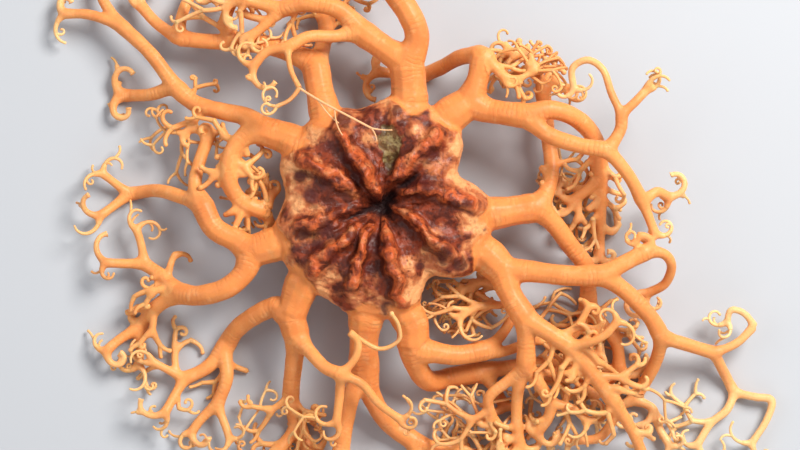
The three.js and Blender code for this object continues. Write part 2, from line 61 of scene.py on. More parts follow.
arms = {
    "forkRadius": 21,  # where each arm first forks, under the disc
    "mouthRadius": 10.5,
    "radius": 5.2,
    "height": 17,
    "step": 1.1,  # between the stations of a limb
    "clearance": 0.45,  # between a twig and the limbs beside it
    "floorClearance": 0.4,
    "rimClearance": 1,  # between a twig and the disc, out from the rim
    "crownClearance": 4,  # and above the crown
    "aimBack": 2.2,  # the limbs of a fork aim from this many radii before it
    "hostShare": 0.9,  # a limb starts no thicker than this share of its host
    "forkedTaper": 1.2,  # radius at the start of a limb over that at its end, where it forks again
    "lastTaper": 1.35,  # and where it doesn't
    "footFlat": 0.25,  # how much of a limb that lies on the floor is pressed flat
    "tipRadius": 0.38,
    "tries": 14,
}


# Routes of the limbs, [x, y, height], and the radius at the end of each. The names are only there to find them by.
def limb(name, route, radius, *forks):
    return {"name": name, "route": route, "radius": radius, "forks": forks}


arm1 = [
  limb("arm1_a", [[8, 36, 18], [7.5, 42, 19]], 4.6,
    limb("arm1_a_left", [[1, 47, 19], [-6, 52, 18]], 3.6,
      limb("arm1_a_left_outer", [[-12.5, 58.5, 19], [-21.5, 60.5, 19], [-30.5, 59, 16]], 2.4),
      limb("", [[-14, 50.7, 20], [-21.5, 50.5, 22], [-27.5, 47.5, 23]], 1.7,
        limb("", [[-27, 41, 26], [-24.3, 35, 29]], 0.8,
          limb("", [[-17.5, 30.7, 30.8], [-10, 26.7, 31.6], [-3, 23, 31.6]], 0.6),
          limb("", [[-27, 31.5, 29], [-31, 29.5, 28]], 0.6)),
        limb("", [[-34, 46, 22], [-38, 42, 21]], 1.3))),
    limb("arm1_a_right", [[10.5, 50, 21], [8, 57.5, 22], [3, 64.5, 20], [-0.5, 69.5, 18]], 3.5,
      limb("arm1_a_right_outer", [[-9.5, 76, 15], [-16, 81, 11]], 2.2),
      limb("", [[2, 80, 18], [8, 87, 14]], 2))),
  limb("arm1_b", [[17, 25, 17.5], [25, 30.5, 18]], 4.4,
    limb("arm1_b_up", [[28.2, 37, 19], [30, 44.5, 19]], 3.1,
      limb("arm1_b_up_back", [[24, 45, 13], [17.5, 42, 6], [11, 39.5, 0]], 2.2),
      limb("", [[33, 42, 20], [36.5, 38.5, 21]], 1.3)),
    limb("arm1_b_right", [[32.5, 28.5, 19], [42.5, 27, 22]], 3.5,
      limb("arm1_b_right_over", [[50, 28.8, 22], [58, 26.2, 19], [63.7, 20, 15], [65.5, 10, 10]], 2.6,
        limb("", [[62, 5.5, 10], [57.5, 2, 8]], 1.5),
        limb("arm1_b_right_hanging", [[66, -1, 7], [66, -10, 1.5], [66, -15, 0]], 1.5)),
      limb("arm1_b_right_under", [[49, 21.5, 23], [58, 18.3, 24], [66.3, 16.8, 24]], 2.3,
        limb("arm1_b_right_rising", [[70.5, 22.5, 24], [71, 27, 24]], 1.7,
          limb("", [[68, 33.5, 24], [65.5, 40.5, 24], [61, 43.5, 23], [56.5, 41, 22], [57, 35, 21]], 0.9),
          limb("", [[75, 31, 24], [78.3, 34.5, 23]], 1.2)),
        limb("arm1_b_right_falling", [[73, 9.6, 22], [77.4, 2, 19]], 1.9,
          limb("", [[79.5, -3, 18], [81.5, -8, 17]], 1.3),
          limb("", [[82, 4.5, 17], [85.5, 3, 14]], 1.4))))),
]

arm5 = [
  limb("arm5_a", [[-17, 27.5, 17.5], [-18.6, 35, 16], [-19.8, 41.7, 14]], 3.8,
    limb("arm5_a_up", [[-18, 48, 9], [-17, 55, 5], [-20, 63, 1], [-22, 68, 0]], 2.3,
      limb("", [[-28, 75, 4]], 1.8),
      limb("", [[-20, 76, 5]], 1.6)),
    limb("arm5_a_left", [[-26, 45.6, 13], [-34, 48.6, 11], [-44, 49.5, 10]], 2.8,
      limb("arm5_a_left_outer", [[-54, 50, 9], [-61, 51, 8]], 2.3,
        limb("", [[-68, 55.5, 7], [-73, 61, 5]], 1.6),
        limb("", [[-60, 59, 7], [-57, 66, 5]], 1.6)),
      limb("", [[-47, 55, 12], [-45, 62, 13]], 1.7))),
  limb("arm5_b", [[-26, 19.5, 17.5], [-36, 23, 17]], 4,
    limb("arm5_b_curl", [[-42.6, 19.5, 18], [-45.6, 13.5, 18], [-45.3, 6.6, 17], [-41.7, 1.5, 15], [-36, -1, 13]], 2.4,
      limb("", [[-33, 4, 12]], 1.3),
      limb("", [[-33, -5, 10]], 1.2)),
    limb("arm5_b_left", [[-41, 27, 15], [-47, 28.5, 13], [-56, 31, 11], [-62, 36, 10]], 2.5,
      limb("arm5_b_left_outer", [[-69.5, 46, 10], [-78.5, 54.5, 8]], 2.1,
        limb("", [[-84, 62, 6], [-87, 70, 4]], 1.5),
        limb("", [[-88, 58, 7], [-96, 58.5, 5]], 1.4)),
      limb("arm5_b_left_low", [[-70, 34, 6], [-79, 34, 0]], 1.8))),
]

arm4 = [
  limb("arm4_a", [[-27, -10, 17.5], [-38, -13, 17]], 4.2,
    limb("arm4_a_up", [[-43.5, -10, 17], [-50, -6.3, 17], [-53.7, 0.6, 16]], 3.2,
      limb("", [[-56, 6.6, 14], [-54.6, 14, 12], [-52.5, 20, 11]], 1.8),
      limb("arm4_a_up_left", [[-60, 3, 12], [-68, 5, 6], [-77, 4, 0]], 1.9)),
    limb("arm4_a_down", [[-41, -19.5, 18], [-46.5, -24.3, 18], [-54.6, -26.5, 15], [-60.6, -26, 11]], 3,
      limb("arm4_a_down_outer", [[-68, -30, 7], [-74, -37, 0]], 2.1),
      limb("", [[-66, -21, 8], [-72, -17, 6]], 1.9))),
  limb("arm4_b", [[-23, -21, 17.5], [-27, -31.5, 16]], 4.2,
    limb("", [[-26.5, -35, 15.5], [-25.5, -38.5, 15]], 3.6,
      limb("arm4_b_down_left", [[-26.5, -47.4, 12], [-27.5, -58, 7], [-25.5, -66, 0]], 2.5,
        limb("", [[-22, -74, 3]], 1.9),
        limb("", [[-31, -73, 5]], 1.7)),
      limb("arm4_b_down_right", [[-21.5, -43, 19], [-17, -47.5, 22], [-12.5, -49.5, 23]], 1.9,
        limb("", [[-8, -45, 24], [-7, -40, 25], [-9.5, -37, 26]], 1,
          limb("", [[-1, -42, 24], [5, -39.5, 25.5], [5, -35, 27.5], [3, -31.5, 29.5]], 0.6)),
        limb("", [[-12.5, -55, 20], [-13.5, -64, 18]], 1.2),
        limb("", [[-6, -52.5, 22], [-1, -58.5, 19], [5.5, -63.5, 16]], 1.1))),
    limb("arm4_b_left", [[-32, -30, 14], [-38, -32.5, 11], [-44, -37, 6], [-48, -43, 0]], 2.7,
      limb("", [[-53, -48.5, 3], [-60, -52, 3]], 1.9),
      limb("", [[-47, -51.5, 5], [-50, -60, 4]], 1.9))),
]

arm3 = [
  limb("arm3_a", [[-4.5, -32, 17], [-5.4, -41.5, 14.5], [-5.4, -49.5, 12]], 4.2,
    limb("arm3_a_left", [[-9, -56.5, 12], [-11, -65.4, 11], [-12.5, -74.5, 10]], 2.4,
      limb("", [[-18, -82, 8]], 1.7),
      limb("", [[-8.5, -84, 7]], 1.7)),
    limb("arm3_a_right", [[-3, -57.3, 9], [2, -65.5, 4], [9, -70.5, 0]], 2.8,
      limb("arm3_a_right_outer", [[17.5, -74, 4], [25, -79, 5]], 2),
      limb("", [[11.5, -79, 4], [13, -86, 5]], 1.9))),
  limb("arm3_b", [[8.4, -34, 17], [9.3, -41.5, 16]], 4.4,
    limb("arm3_b_right", [[16, -43.5, 15], [23, -44.4, 13], [31, -43, 11]], 2.9,
      limb("arm3_b_right_up", [[35.5, -39, 9], [38.5, -34.5, 8], [39.3, -30, 7]], 1.5,
        limb("", [[36, -25, 7], [30, -22.5, 8], [24.5, -25, 9]], 1),
        limb("", [[34.5, -29.5, 10], [28.5, -30, 12], [23.5, -33, 12]], 1)),
      limb("", [[36, -43.5, 10], [41, -42, 9], [46, -40, 9]], 1.4)),
    limb("arm3_b_down", [[10.8, -48.5, 12], [14.5, -52.5, 7], [21, -51.5, 2], [30, -50, 0]], 3,
      limb("arm3_b_down_outer", [[39, -48.5, 2], [49, -47.5, 2.5], [56, -49, 3]], 2),
      limb("", [[34, -55, 3], [37, -60, 4]], 1.6))),
]

arm2 = [
  limb("arm2_a", [[27.5, -11, 17], [35.4, -18.3, 17.5]], 4.3,
    limb("arm2_a_right", [[44.4, -19.2, 19], [55, -20.4, 20], [65, -20.4, 20]], 3,
      limb("arm2_a_right_up", [[71.4, -17.1, 20], [78.3, -13.5, 19]], 2.4,
        limb("", [[84, -14, 18], [86.6, -17.7, 15], [85, -23, 11], [80, -26, 8]], 1.3),
        limb("", [[80, -10, 20], [77, -8.5, 21], [75, -11, 20]], 0.9)),
      limb("arm2_a_right_down", [[73, -25.5, 18], [80, -32.7, 16], [83.4, -38.4, 14]], 2.5,
        limb("arm2_a_right_outer", [[91.8, -41.4, 11], [99.6, -43.8, 8]], 1.9,
          limb("", [[106.8, -41, 8], [112, -36, 8]], 1.2,
            limb("", [[109, -32, 9], [105, -31, 9], [104, -34.5, 8]], 0.8)),
          limb("arm2_a_right_end", [[103.2, -49.5, 4], [106.8, -56, 0]], 1.5,
            limb("", [[113, -57.5, 3], [118, -58.5, 3], [116.5, -64.5, 3], [112, -71.5, 3]], 1),
            limb("", [[104.4, -61.5, 3], [99.6, -65.5, 3], [95.5, -72, 3]], 1.1))),
        limb("arm2_a_right_low", [[82.8, -45.3, 9], [79.8, -52.5, 4], [76.5, -58, 0]], 1.9,
          limb("", [[82, -61, 3], [84, -67, 3], [87, -72, 4]], 1.1),
          limb("", [[71, -61, 3]], 1.2)))),
    limb("arm2_a_down", [[38, -25.5, 19], [42.3, -32.7, 20]], 3.4,
      limb("arm2_a_down_right", [[49, -37, 20], [55.2, -41, 19]], 2.5,
        limb("arm2_a_down_outer", [[62.4, -49.5, 17], [69.6, -58.5, 14]], 2.2,
          limb("", [[75, -67, 11], [79, -76, 8], [80.5, -84, 6]], 1.5),
          limb("", [[69, -64.5, 11], [65, -69.5, 9], [57, -70.5, 7]], 1.3)),
        limb("", [[61, -40.5, 22], [66, -38, 24], [69.5, -34, 25]], 1.1)),
      limb("arm2_a_down_left", [[43, -40, 18], [43, -47, 16]], 2.6,
        limb("", [[37.8, -52, 14], [32, -57.3, 12], [33.3, -64, 9]], 1.5),
        limb("", [[40.8, -55, 13], [40.5, -64, 10], [41.5, -72, 8]], 1.6),
        limb("arm2_a_down_fork", [[46.8, -52.5, 15], [50.7, -58.5, 13]], 1.8,
          limb("", [[49.8, -63.5, 11], [46.8, -67.5, 9]], 1.6),
          limb("", [[57, -60.3, 13], [61.5, -64, 12]], 1.1))))),
  limb("arm2_b", [[31, -2.5, 17], [37, -1.5, 16], [45, -0.3, 15]], 4,
    limb("arm2_b_up", [[49.5, 5, 13], [51, 12.6, 10], [50, 21.6, 8], [49.2, 29.5, 8], [48.3, 34.5, 9]], 2.2,
      limb("", [[47, 40.5, 11], [44, 44.5, 12], [38, 47, 12]], 1.1),
      limb("", [[52, 37, 10], [55, 36, 10]], 1)),
    limb("arm2_b_down", [[51, -4.5, 13], [56.4, -11.4, 10], [61.5, -18, 7], [62.4, -25, 3], [62.4, -30.3, 0]], 2.6,
      limb("", [[60, -36, 3], [55, -42, 2]], 1.5),
      limb("arm2_b_down_outer", [[67, -36, 4], [71, -41.5, 4], [72, -49, 3]], 1.8))),
]


def smoothstep(value, low, high):
    t = min(max((value - low) / (high - low), 0), 1)
    return t * t * (3 - 2 * t)


def rimAt(x, y):  # the rim bulges over each arm and draws in between
    angle = math.degrees(math.atan2(y, x)) % 360
    after = next((i for i, a in enumerate(disc["armAngles"]) if angle < a), 0)
    before = (after - 1) % 5
    span = (disc["armAngles"][after] - disc["armAngles"][before]) % 360
    share = ((angle - disc["armAngles"][before]) % 360) / span
    return disc["radius"] - disc["notchDepths"][before] * smoothstep(1 - abs(2 * share - 1), 0.42, 1)


class Station:  # a place on the centre line of a limb
    def __init__(self, point, radius, along):
        self.point, self.radius, self.along = point, radius, along
        self.direction = Vector((0, 0, 1))

    def heading(self):
        return math.atan2(self.direction.y, self.direction.x)


def catmullRom(a, b, c, d, t):
    slopeB, slopeC = (c - a) / 2, (d - b) / 2
    return (b + slopeB * t + (3 * (c - b) - 2 * slopeB - slopeC) * t ** 2
            + (2 * (b - c) + slopeB + slopeC) * t ** 3)


def padded(points):  # with one more knot past each end
    return [2 * points[0] - points[1], *points, 2 * points[-1] - points[-2]]


def stationsFrom(points, radii, along):
    stations = []
    for i, (point, radius) in enumerate(zip(points, radii)):
        if i:
            along += (point - points[i - 1]).length
        stations.append(Station(point, radius, along))
        stations[-1].direction = (points[min(i + 1, len(points) - 1)] - points[max(i - 1, 0)]).normalized()
    return stations


def routeStations(before, route, startRadius, endRadius, along):
    knots = [Vector(k) for k in (before, *route)]
    knots.append(2 * knots[-1] - knots[-2])
    points = []
    for a, b, c, d in zip(knots, knots[1:], knots[2:], knots[3:]):
        pieces = max(2, int((c - b).length / arms["step"] + 0.5))
        points += [catmullRom(a, b, c, d, n / pieces) for n in range(pieces)]
    points.append(knots[-2])
    last = len(points) - 1
    radii = [startRadius + (endRadius - startRadius) * math.sqrt(i / last) for i in range(last + 1)]
    for point, radius in zip(points, radii):
        point.z = max(point.z, radius - arms["footFlat"])
    return stationsFrom(points, radii, along)


limbs = []
cellSize, cellReach = 3, 2.4
cells = {}  # the stations near each small cube of space, so that a twig finds its neighbours fast


def newLimb(stations, arm, host, isTip, onSolids=True):
    return {"stations": stations, "arm": arm, "host": host, "forks": [], "isTip": isTip, "onSolids": onSolids}


def settle(made):
    limbs.append(made)
    for s in made["stations"]:
        reach = s.radius + cellReach
        spans = [range(math.floor((v - reach) / cellSize), math.floor((v + reach) / cellSize) + 1) for v in s.point]
        for i in spans[0]:
            for j in spans[1]:
                for k in spans[2]:
                    cells.setdefault((i, j, k), []).append(s)


def place(spec, arm, host, start, before, startRadius, along):
    stations = routeStations(before, [start, *spec["route"]], startRadius, spec["radius"], along)
    made = newLimb(stations, arm, host, False)
    settle(made)
    end = stations[-1]
    back = stations[max(0, len(stations) - 1 - int(arms["aimBack"] * end.radius / arms["step"] + 0.5))]
    for fork in spec["forks"]:
        taper = arms["forkedTaper"] if fork["forks"] else arms["lastTaper"]
        radius = min(end.radius * arms["hostShare"], fork["radius"] * taper)
        made["forks"].append(place(fork, arm, made, end.point, back.point, radius, end.along))
    return made


def isClear(stations, root, nearRoot, clearance):
    for s in stations:
        x, y, z = s.point
        if z < s.radius + arms["floorClearance"]:
            return False
        overRim = math.hypot(x, y) < rimAt(x, y) + s.radius + arms["rimClearance"]
        if overRim and z < disc["crownHeight"] + s.radius + arms["crownClearance"]:
            return False
        leaving = (s.point - root).length < nearRoot
        for other in cells.get((math.floor(x / cellSize), math.floor(y / cellSize), math.floor(z / cellSize)), ()):
            if (s.point - other.point).length > s.radius + other.radius + clearance:
                continue
            if not (leaving and (other.point - root).length < nearRoot):
                return False
    return True


def bentStations(root, plan, step):
    steps = max(4, int(plan["length"] / step + 0.5))
    points, radii = [root.point.copy()], [plan["startRadius"]]
    for i in range(1, steps + 1):
        heading = plan["heading"] + plan["turn"] * (i / steps) ** plan["curl"]
        way = Vector((math.cos(heading), math.sin(heading), plan["climb"] / plan["length"]))
        points.append(points[-1] + way * plan["length"] / steps)
        radii.append(plan["startRadius"] + (plan["endRadius"] - plan["startRadius"]) * i / steps)
    return stationsFrom(points, radii, root.along)


class Draw:  # the same repeatable numbers as the solids are grown with
    def __init__(self, seed):
        self.state = seed

    def __call__(self):
        self.state = (self.state * 1664525 + 1013904223) % 4294967296
        return self.state / 4294967296


# The last forks of the limbs, as the solids have them, each into a strong and a weak twig. What varies is given as the
# least and what may be added.
lastForks = {
    "strong": (0.82, 22),  # share of the host's radius, and the least angle off its heading
    "weak": (0.7, 38),
    "stray": 22,
    "thinnest": 0.5,
    "tipLength": (8, 6),
    "stemLength": (6, 3.4),  # and what is added for each millimetre of its radius
    "curl": (120, 160),
    "curlBack": 0.3,  # share of the tips that curl back over their host
    "stemTurn": 30,
    "climb": (0.35, 7),  # share of the twigs that falls, and the height between the steepest ones
    "shrink": 0.5,  # how much shorter the last try is than the first
}


def growTwigs(made, levels, side, draw):
    end = made["stations"][-1]
    ahead = end.heading()
    isTip = levels == 1
    for kind, way in (("strong", side), ("weak", -side)):
        share, spread = lastForks[kind]
        startRadius = max(lastForks["thinnest"], end.radius * share)
        for attempt in range(arms["tries"]):
            shrink = 1 - lastForks["shrink"] * attempt / arms["tries"]
            plan = {"heading": ahead + way * math.radians(spread + lastForks["stray"] * draw())}
            least, more = lastForks["tipLength"] if isTip else lastForks["stemLength"]
            plan["length"] = (least + more * (draw() if isTip else startRadius)) * shrink
            if isTip:
                least, more = lastForks["curl"]
                bend = least + more * draw()
                plan["turn"] = math.radians(bend * (-way if draw() < lastForks["curlBack"] else way))
            else:
                plan["turn"] = math.radians(-way * lastForks["stemTurn"] * draw())
            falling, height = lastForks["climb"]
            plan["climb"] = (draw() - falling) * height * shrink
            plan["curl"] = 1.6 if isTip else 1
            plan["startRadius"] = startRadius
            plan["endRadius"] = arms["tipRadius"] if isTip else max(lastForks["thinnest"], startRadius * 0.8)
            stations = bentStations(end, plan, arms["step"])
            if isClear(stations[1:], end.point, 2.6 * end.radius + 1.2, arms["clearance"]):
                twig = newLimb(stations, made["arm"], made, isTip)
                made["forks"].append(twig)
                settle(twig)
                if not isTip:
                    growTwigs(twig, levels - 1, -way, draw)
                break


for arm, angle, primaries in zip((1, 5, 4, 3, 2), disc["armAngles"], (arm1, arm5, arm4, arm3, arm2)):
    outward = Vector((math.cos(math.radians(angle)), math.sin(math.radians(angle)), 0))
    lift = Vector((0, 0, arms["height"]))
    trunk = limb("trunk", [outward * arms["forkRadius"] + lift], arms["radius"], *primaries)
    place(trunk, arm, None, outward * arms["mouthRadius"] + lift, lift, arms["radius"] * 0.8, 0)
for i, leaf in enumerate([made for made in limbs if not made["forks"]]):
    growTwigs(leaf, 2 if leaf["stations"][-1].radius > 1.85 else 1, 1 if i % 2 else -1, Draw(77 + 31 * i))
print("limbs and twigs as the solids have them:", len(limbs))

# The finer twigs that only the skin has: side twigs on every curled tip, and sprays in the dense tangles.
twigs = {
    "clearance": 0.12,
    "step": 0.45,
    "thinnest": 0.36,
    "tries": 8,
    "shrink": 0.07,  # how much shorter each try is than the one before
    "spread": (20, 52),  # off the host's heading
    "climb": (-4, 1),
    "stemTurn": (-12, 42),
    "looped": 0.28,  # share of the tips that end in a loop, the others end in a short bent knob
    "loopTurn": (170, 300),
    "knobTurn": (15, 95),
    "sideTwigs": {  # share of the way along a curled tip, and on which side
        "places": ((0.3, -1), (0.58, 1)), "chance": 0.85, "size": (3.4, 6.2), "startRadius": 0.46},
    "sprays": {"size": (5.5, 8.5), "levels": (2, 3, 3, 4), "startRadius": (0.75, 1.25), "hostShare": 0.8,
               "hostRadius": (0.5, 2.7), "highestHost": 21, "tries": 6},
    "slack": 1.5,  # how far a spray may leave its tangle, where 1 is the edge
    "boxMargin": 0.4,
    "tangles": [  # centre, half widths, how many sprays
        ((60, 4), (11, 15), 26), ((42, 39), (11, 9), 22), ((25, -28), (12, 9), 20), ((60, -48), (17, 20), 44),
        ((28, -68), (17, 12), 26), ((-31, -66), (12, 11), 16), ((-36, 10), (11, 17), 20), ((-35, 56), (24, 9), 16),
        ((88, -64), (14, 12), 5), ((-60, 20), (24, 16), 12), ((-58, -38), (16, 20), 12), ((0, 76), (24, 16), 14)],
}
rnd = random.Random(11)

# The strands that cross the disc are finer than the other twigs, and nearly straight.
strands = {
    "slimness": 0.54,
    "fan": [(16, 6, 14), (-24, 4, -30)],  # heading off the twig that they end, length, bend
    "sides": [(0.52, -62, 8, 34), (0.3, -30, 9, 26)],  # where along that twig a side strand starts, then the same
}


def overDisc(s):
    return math.hypot(s.point.x, s.point.y) < rimAt(s.point.x, s.point.y) and s.point.z > disc["crownHeight"] + 1


def strand(root, off, length, bend):
    return bentStations(root, {
        "heading": root.heading() + math.radians(off), "length": length,
        "turn": math.radians(bend), "climb": -0.3, "curl": 1.3, "startRadius": 0.5, "endRadius": 0.34}, twigs["step"])


crossing = next(made for made in limbs if made["arm"] == 1 and made["forks"] and overDisc(made["stations"][-1]))
for tip, (off, length, bend) in zip(crossing["forks"], strands["fan"]):
    tip["stations"] = strand(crossing["stations"][-1], off, length, bend)
for share, *rest in strands["sides"]:
    root = crossing["stations"][int(share * len(crossing["stations"]))]
    limbs.append(newLimb(strand(root, *rest), 1, crossing, True))
for made in limbs:
    if made["arm"] == 1 and overDisc(made["stations"][-1]):
        for s in made["stations"]:
            s.radius *= strands["slimness"]
        made["isStrand"] = True

# The room for the finer twigs is the solids' box less a margin, and the skin keeps within that box too.
highest = max(box[1][2] for box in nodeBoxes) / mm - twigs["boxMargin"]
sides = [(min(box[0][i] for box in nodeBoxes) / mm - disc["centre"][i] + twigs["boxMargin"],
          max(box[1][i] for box in nodeBoxes) / mm - disc["centre"][i] - twigs["boxMargin"]) for i in (0, 1)]
skinMargin = 0.02


def keepInside(vert):
    vert.co.z = max(vert.co.z, skinMargin)
    spare = twigs["boxMargin"] - skinMargin
    for i, (low, high) in enumerate(sides):
        vert.co[i] = min(max(vert.co[i], low - spare), high + spare)


def offCentre(s, zone):  # 1 on the edge of the zone
    (x, y), (halfX, halfY) = zone
    return ((s.point.x - x) / halfX) ** 2 + ((s.point.y - y) / halfY) ** 2


def fitsIn(stations, zone):
    if zone and not all(offCentre(s, zone) < twigs["slack"] for s in stations):
        return False
    return all(sides[0][0] + s.radius < s.point.x < sides[0][1] - s.radius
               and sides[1][0] + s.radius < s.point.y < sides[1][1] - s.radius
               and s.point.z + s.radius < highest for s in stations)


def sprout(made, root, way, size, levels, thickness, arc, zone=None):
    ahead = root.heading()
    isTip = levels == 1
    loops = rnd.random() < twigs["looped"]
    for attempt in range(twigs["tries"]):
        shrink = 1 - twigs["shrink"] * attempt
        if not isTip:
            turn, length = rnd.uniform(*twigs["stemTurn"]) * arc, size
        elif loops:
            turn, length = rnd.uniform(*twigs["loopTurn"]) * way, size * 0.95
        else:
            turn, length = rnd.uniform(*twigs["knobTurn"]) * arc, size * rnd.uniform(0.5, 0.9)
        plan = {
            "heading": ahead + way * math.radians(rnd.uniform(*twigs["spread"])),
            "length": length * shrink * rnd.uniform(0.8, 1.2),
            "turn": math.radians(turn),
            "climb": rnd.uniform(*twigs["climb"]) * shrink,
            "curl": 1.9 if isTip else 1,
            "startRadius": thickness,
            "endRadius": max(twigs["thinnest"], thickness * (0.75 if isTip else 0.88)),
        }
        stations = bentStations(root, plan, twigs["step"])
        nearRoot = root.radius + thickness + 1.3
        if fitsIn(stations[1:], zone) and isClear(stations[1:], root.point, nearRoot, twigs["clearance"]):
            twig = newLimb(stations, made["arm"], made, isTip, onSolids=False)
            settle(twig)
            if not isTip:
                for side in (1, -1):
                    sprout(twig, stations[-1], side, size * 0.94, levels - 1, max(0.48, thickness * 0.84), arc, zone)
            return True
    return False


sideTwigs, sprays = twigs["sideTwigs"], twigs["sprays"]
for tip in [made for made in limbs if made["isTip"] and not overDisc(made["stations"][-1])]:
    for share, way in sideTwigs["places"]:
        if rnd.random() < sideTwigs["chance"]:
            root = tip["stations"][int(share * len(tip["stations"]))]
            sprout(tip, root, way, rnd.uniform(*sideTwigs["size"]), 1, sideTwigs["startRadius"], way)
thinnest, thickest = sprays["hostRadius"]
for *zone, count in twigs["tangles"]:
    hosts = [(made, s) for made in limbs for s in made["stations"][2:]
             if thinnest < s.radius < thickest and s.point.z < sprays["highestHost"] and offCentre(s, zone) < 1]
    grown = tries = 0
    while hosts and grown < count and tries < sprays["tries"] * count:
        made, root = rnd.choice(hosts)
        way = rnd.choice((1, -1))
        grown += sprout(made, root, way, rnd.uniform(*sprays["size"]), rnd.choice(sprays["levels"]),
                        min(sprays["hostShare"] * root.radius, rnd.uniform(*sprays["startRadius"])), way, zone)
        tries += 1
print("with the finer twigs:", len(limbs))


# The skin of the arms.
skin = {
    "voxel": 0.42,
    "smoothing": 9,
    "thick": 1.0,  # limbs that start thicker than this are fused into one skin, thinner ones are tubes rooted in it
    "forkSwelling": 0.14,
    "forkReach": 2.2,  # how far from its fork a limb swells, in radii
    "waver": ((0.05, 0.22), (0.03, 0.6)),  # how much the thickness wavers, and how fast
    "rimFlare": 0.22,
    "flareReach": 4.2,
    "flaring": 3,  # only limbs thicker than this flare
    "trunkEnd": [(6.8, 0.9), (7.8, 1.9), (9, 2.9), (10.5, 3.8)],  # distance from the disc's centre, and radius
    "collar": (0.6, 2.6),  # how far out of its host the foot of a thin twig starts to taper, and ends
    "knobs": 0.3,  # how much the tips swell
}


def refined(stations, parts):
    points = [s.point for s in stations]
    knots = padded(points)
    result = []
    for i in range(len(points) - 1):
        for n in range(parts):
            t = n / parts
            result.append((catmullRom(*knots[i:i + 4], t),
                           stations[i].radius + (stations[i + 1].radius - stations[i].radius) * t))
    return result + [(points[-1], stations[-1].radius)]


# Towards its forks a limb is slightly swollen, it grows out of a thicker host with no step, it flares where it meets
# the disc's rim, and its thickness wavers a little.
def swollen(line, atStart, atEnd, hostRadius):
    total = [0]
    for (a, _), (b, _) in zip(line, line[1:]):
        total.append(total[-1] + (b - a).length)
    (broad, broadPace), (fine, finePace) = skin["waver"]
    result = []
    for (point, radius), gone in zip(line, total):
        reach = skin["forkReach"] * radius + 0.6
        near = max(atStart * (1 - smoothstep(gone, 0, reach)), atEnd * (1 - smoothstep(total[-1] - gone, 0, reach)))
        waver = 1 + broad * noise.noise(point * broadPace) + fine * noise.noise(point * finePace)
        offRim = math.hypot(point.x, point.y) - rimAt(point.x, point.y)
        flare = skin["rimFlare"] * math.exp(-(offRim / skin["flareReach"]) ** 2) if radius > skin["flaring"] else 0
        step = max(0, 0.94 * hostRadius - radius) * (1 - smoothstep(gone, 0.25 * hostRadius, 2.1 * hostRadius + 0.01))
        result.append((point, radius * waver * (1 + skin["forkSwelling"] * near + flare) + step))
    return result


def rounded(line, knob):  # a domed end, swollen to a knob where asked
    (before, _), (end, radius) = line[-2:]
    ahead = (end - before).normalized()
    radius *= 1 + knob
    dome = [(0, 1), (0.45, 0.89), (0.8, 0.6), (0.97, 0.22)]
    return line[:-1] + [(end + ahead * radius * out, radius * share) for out, share in dome]


def linked(name, data):
    made = bpy.data.objects.new(name, data)
    bpy.context.scene.collection.objects.link(made)
    return made


def meshFrom(bm, name):
    mesh = bpy.data.meshes.new(name)
    bm.to_mesh(mesh)
    bm.free()
    return mesh


def evaluated(holder):  # the mesh that a curve, or a mesh with its modifiers, gives
    mesh = bpy.data.meshes.new_from_object(holder.evaluated_get(bpy.context.evaluated_depsgraph_get()))
    bpy.data.objects.remove(holder)
    return mesh


def tubes(name, lines, bevelResolution):
    curve = bpy.data.curves.new(name, "CURVE")
    curve.dimensions = "3D"
    curve.bevel_depth = 1
    curve.bevel_resolution = bevelResolution
    curve.use_fill_caps = True
    for line in lines:
        spline = curve.splines.new("POLY")
        spline.points.add(len(line) - 1)
        spline.points.foreach_set("co", [v for point, _ in line for v in (*point, 1)])
        spline.points.foreach_set("radius", [radius for _, radius in line])
        spline.use_smooth = True
    mesh = evaluated(linked(name, curve))
    bpy.data.curves.remove(curve)
    return mesh


def isThick(made):
    return made["stations"][0].radius >= skin["thick"]


def collar(line, hostRadius):  # the foot of a thin twig, fused into the thick skin and tapering away inside the twig
    result, gone = [line[0]], 0
    for (a, _), (point, radius) in zip(line, line[1:]):
        gone += (point - a).length
        outside = gone - hostRadius
        if outside > skin["collar"][1]:
            break
        result.append((point, radius * (1.1 - 0.5 * smoothstep(outside, *skin["collar"]))))
    return result


fused, single = [], {arm: [] for arm in range(1, 6)}
rnd.seed(5)
for made in limbs:
    stations, host = made["stations"], made["host"]
    fromEnd = bool(host) and host["stations"][-1].point == stations[0].point
    line = swollen(refined(stations, 2 if isThick(made) or made["onSolids"] else 1), fromEnd, bool(made["forks"]),
                   host["stations"][-1].radius if fromEnd and isThick(made) else 0)
    if not host:  # a trunk runs out into the mouth's edge
        outward = Vector((line[0][0].x, line[0][0].y, 0)).normalized()
        line = [(outward * r + Vector((0, 0, arms["height"])), radius) for r, radius in skin["trunkEnd"]] + line[1:]
    if isThick(made):
        fused.append(line if made["forks"] else rounded(line, 0.05))
        continue
    if isThick(host):
        fused.append(collar(line, host["stations"][-1].radius))
    single[made["arm"]].append(line if made["forks"] else rounded(line, rnd.choice((0, 0.15, skin["knobs"]))))
print("limbs fused into the skin:", len(fused), "thin twigs:", sum(len(lines) for lines in single.values()))


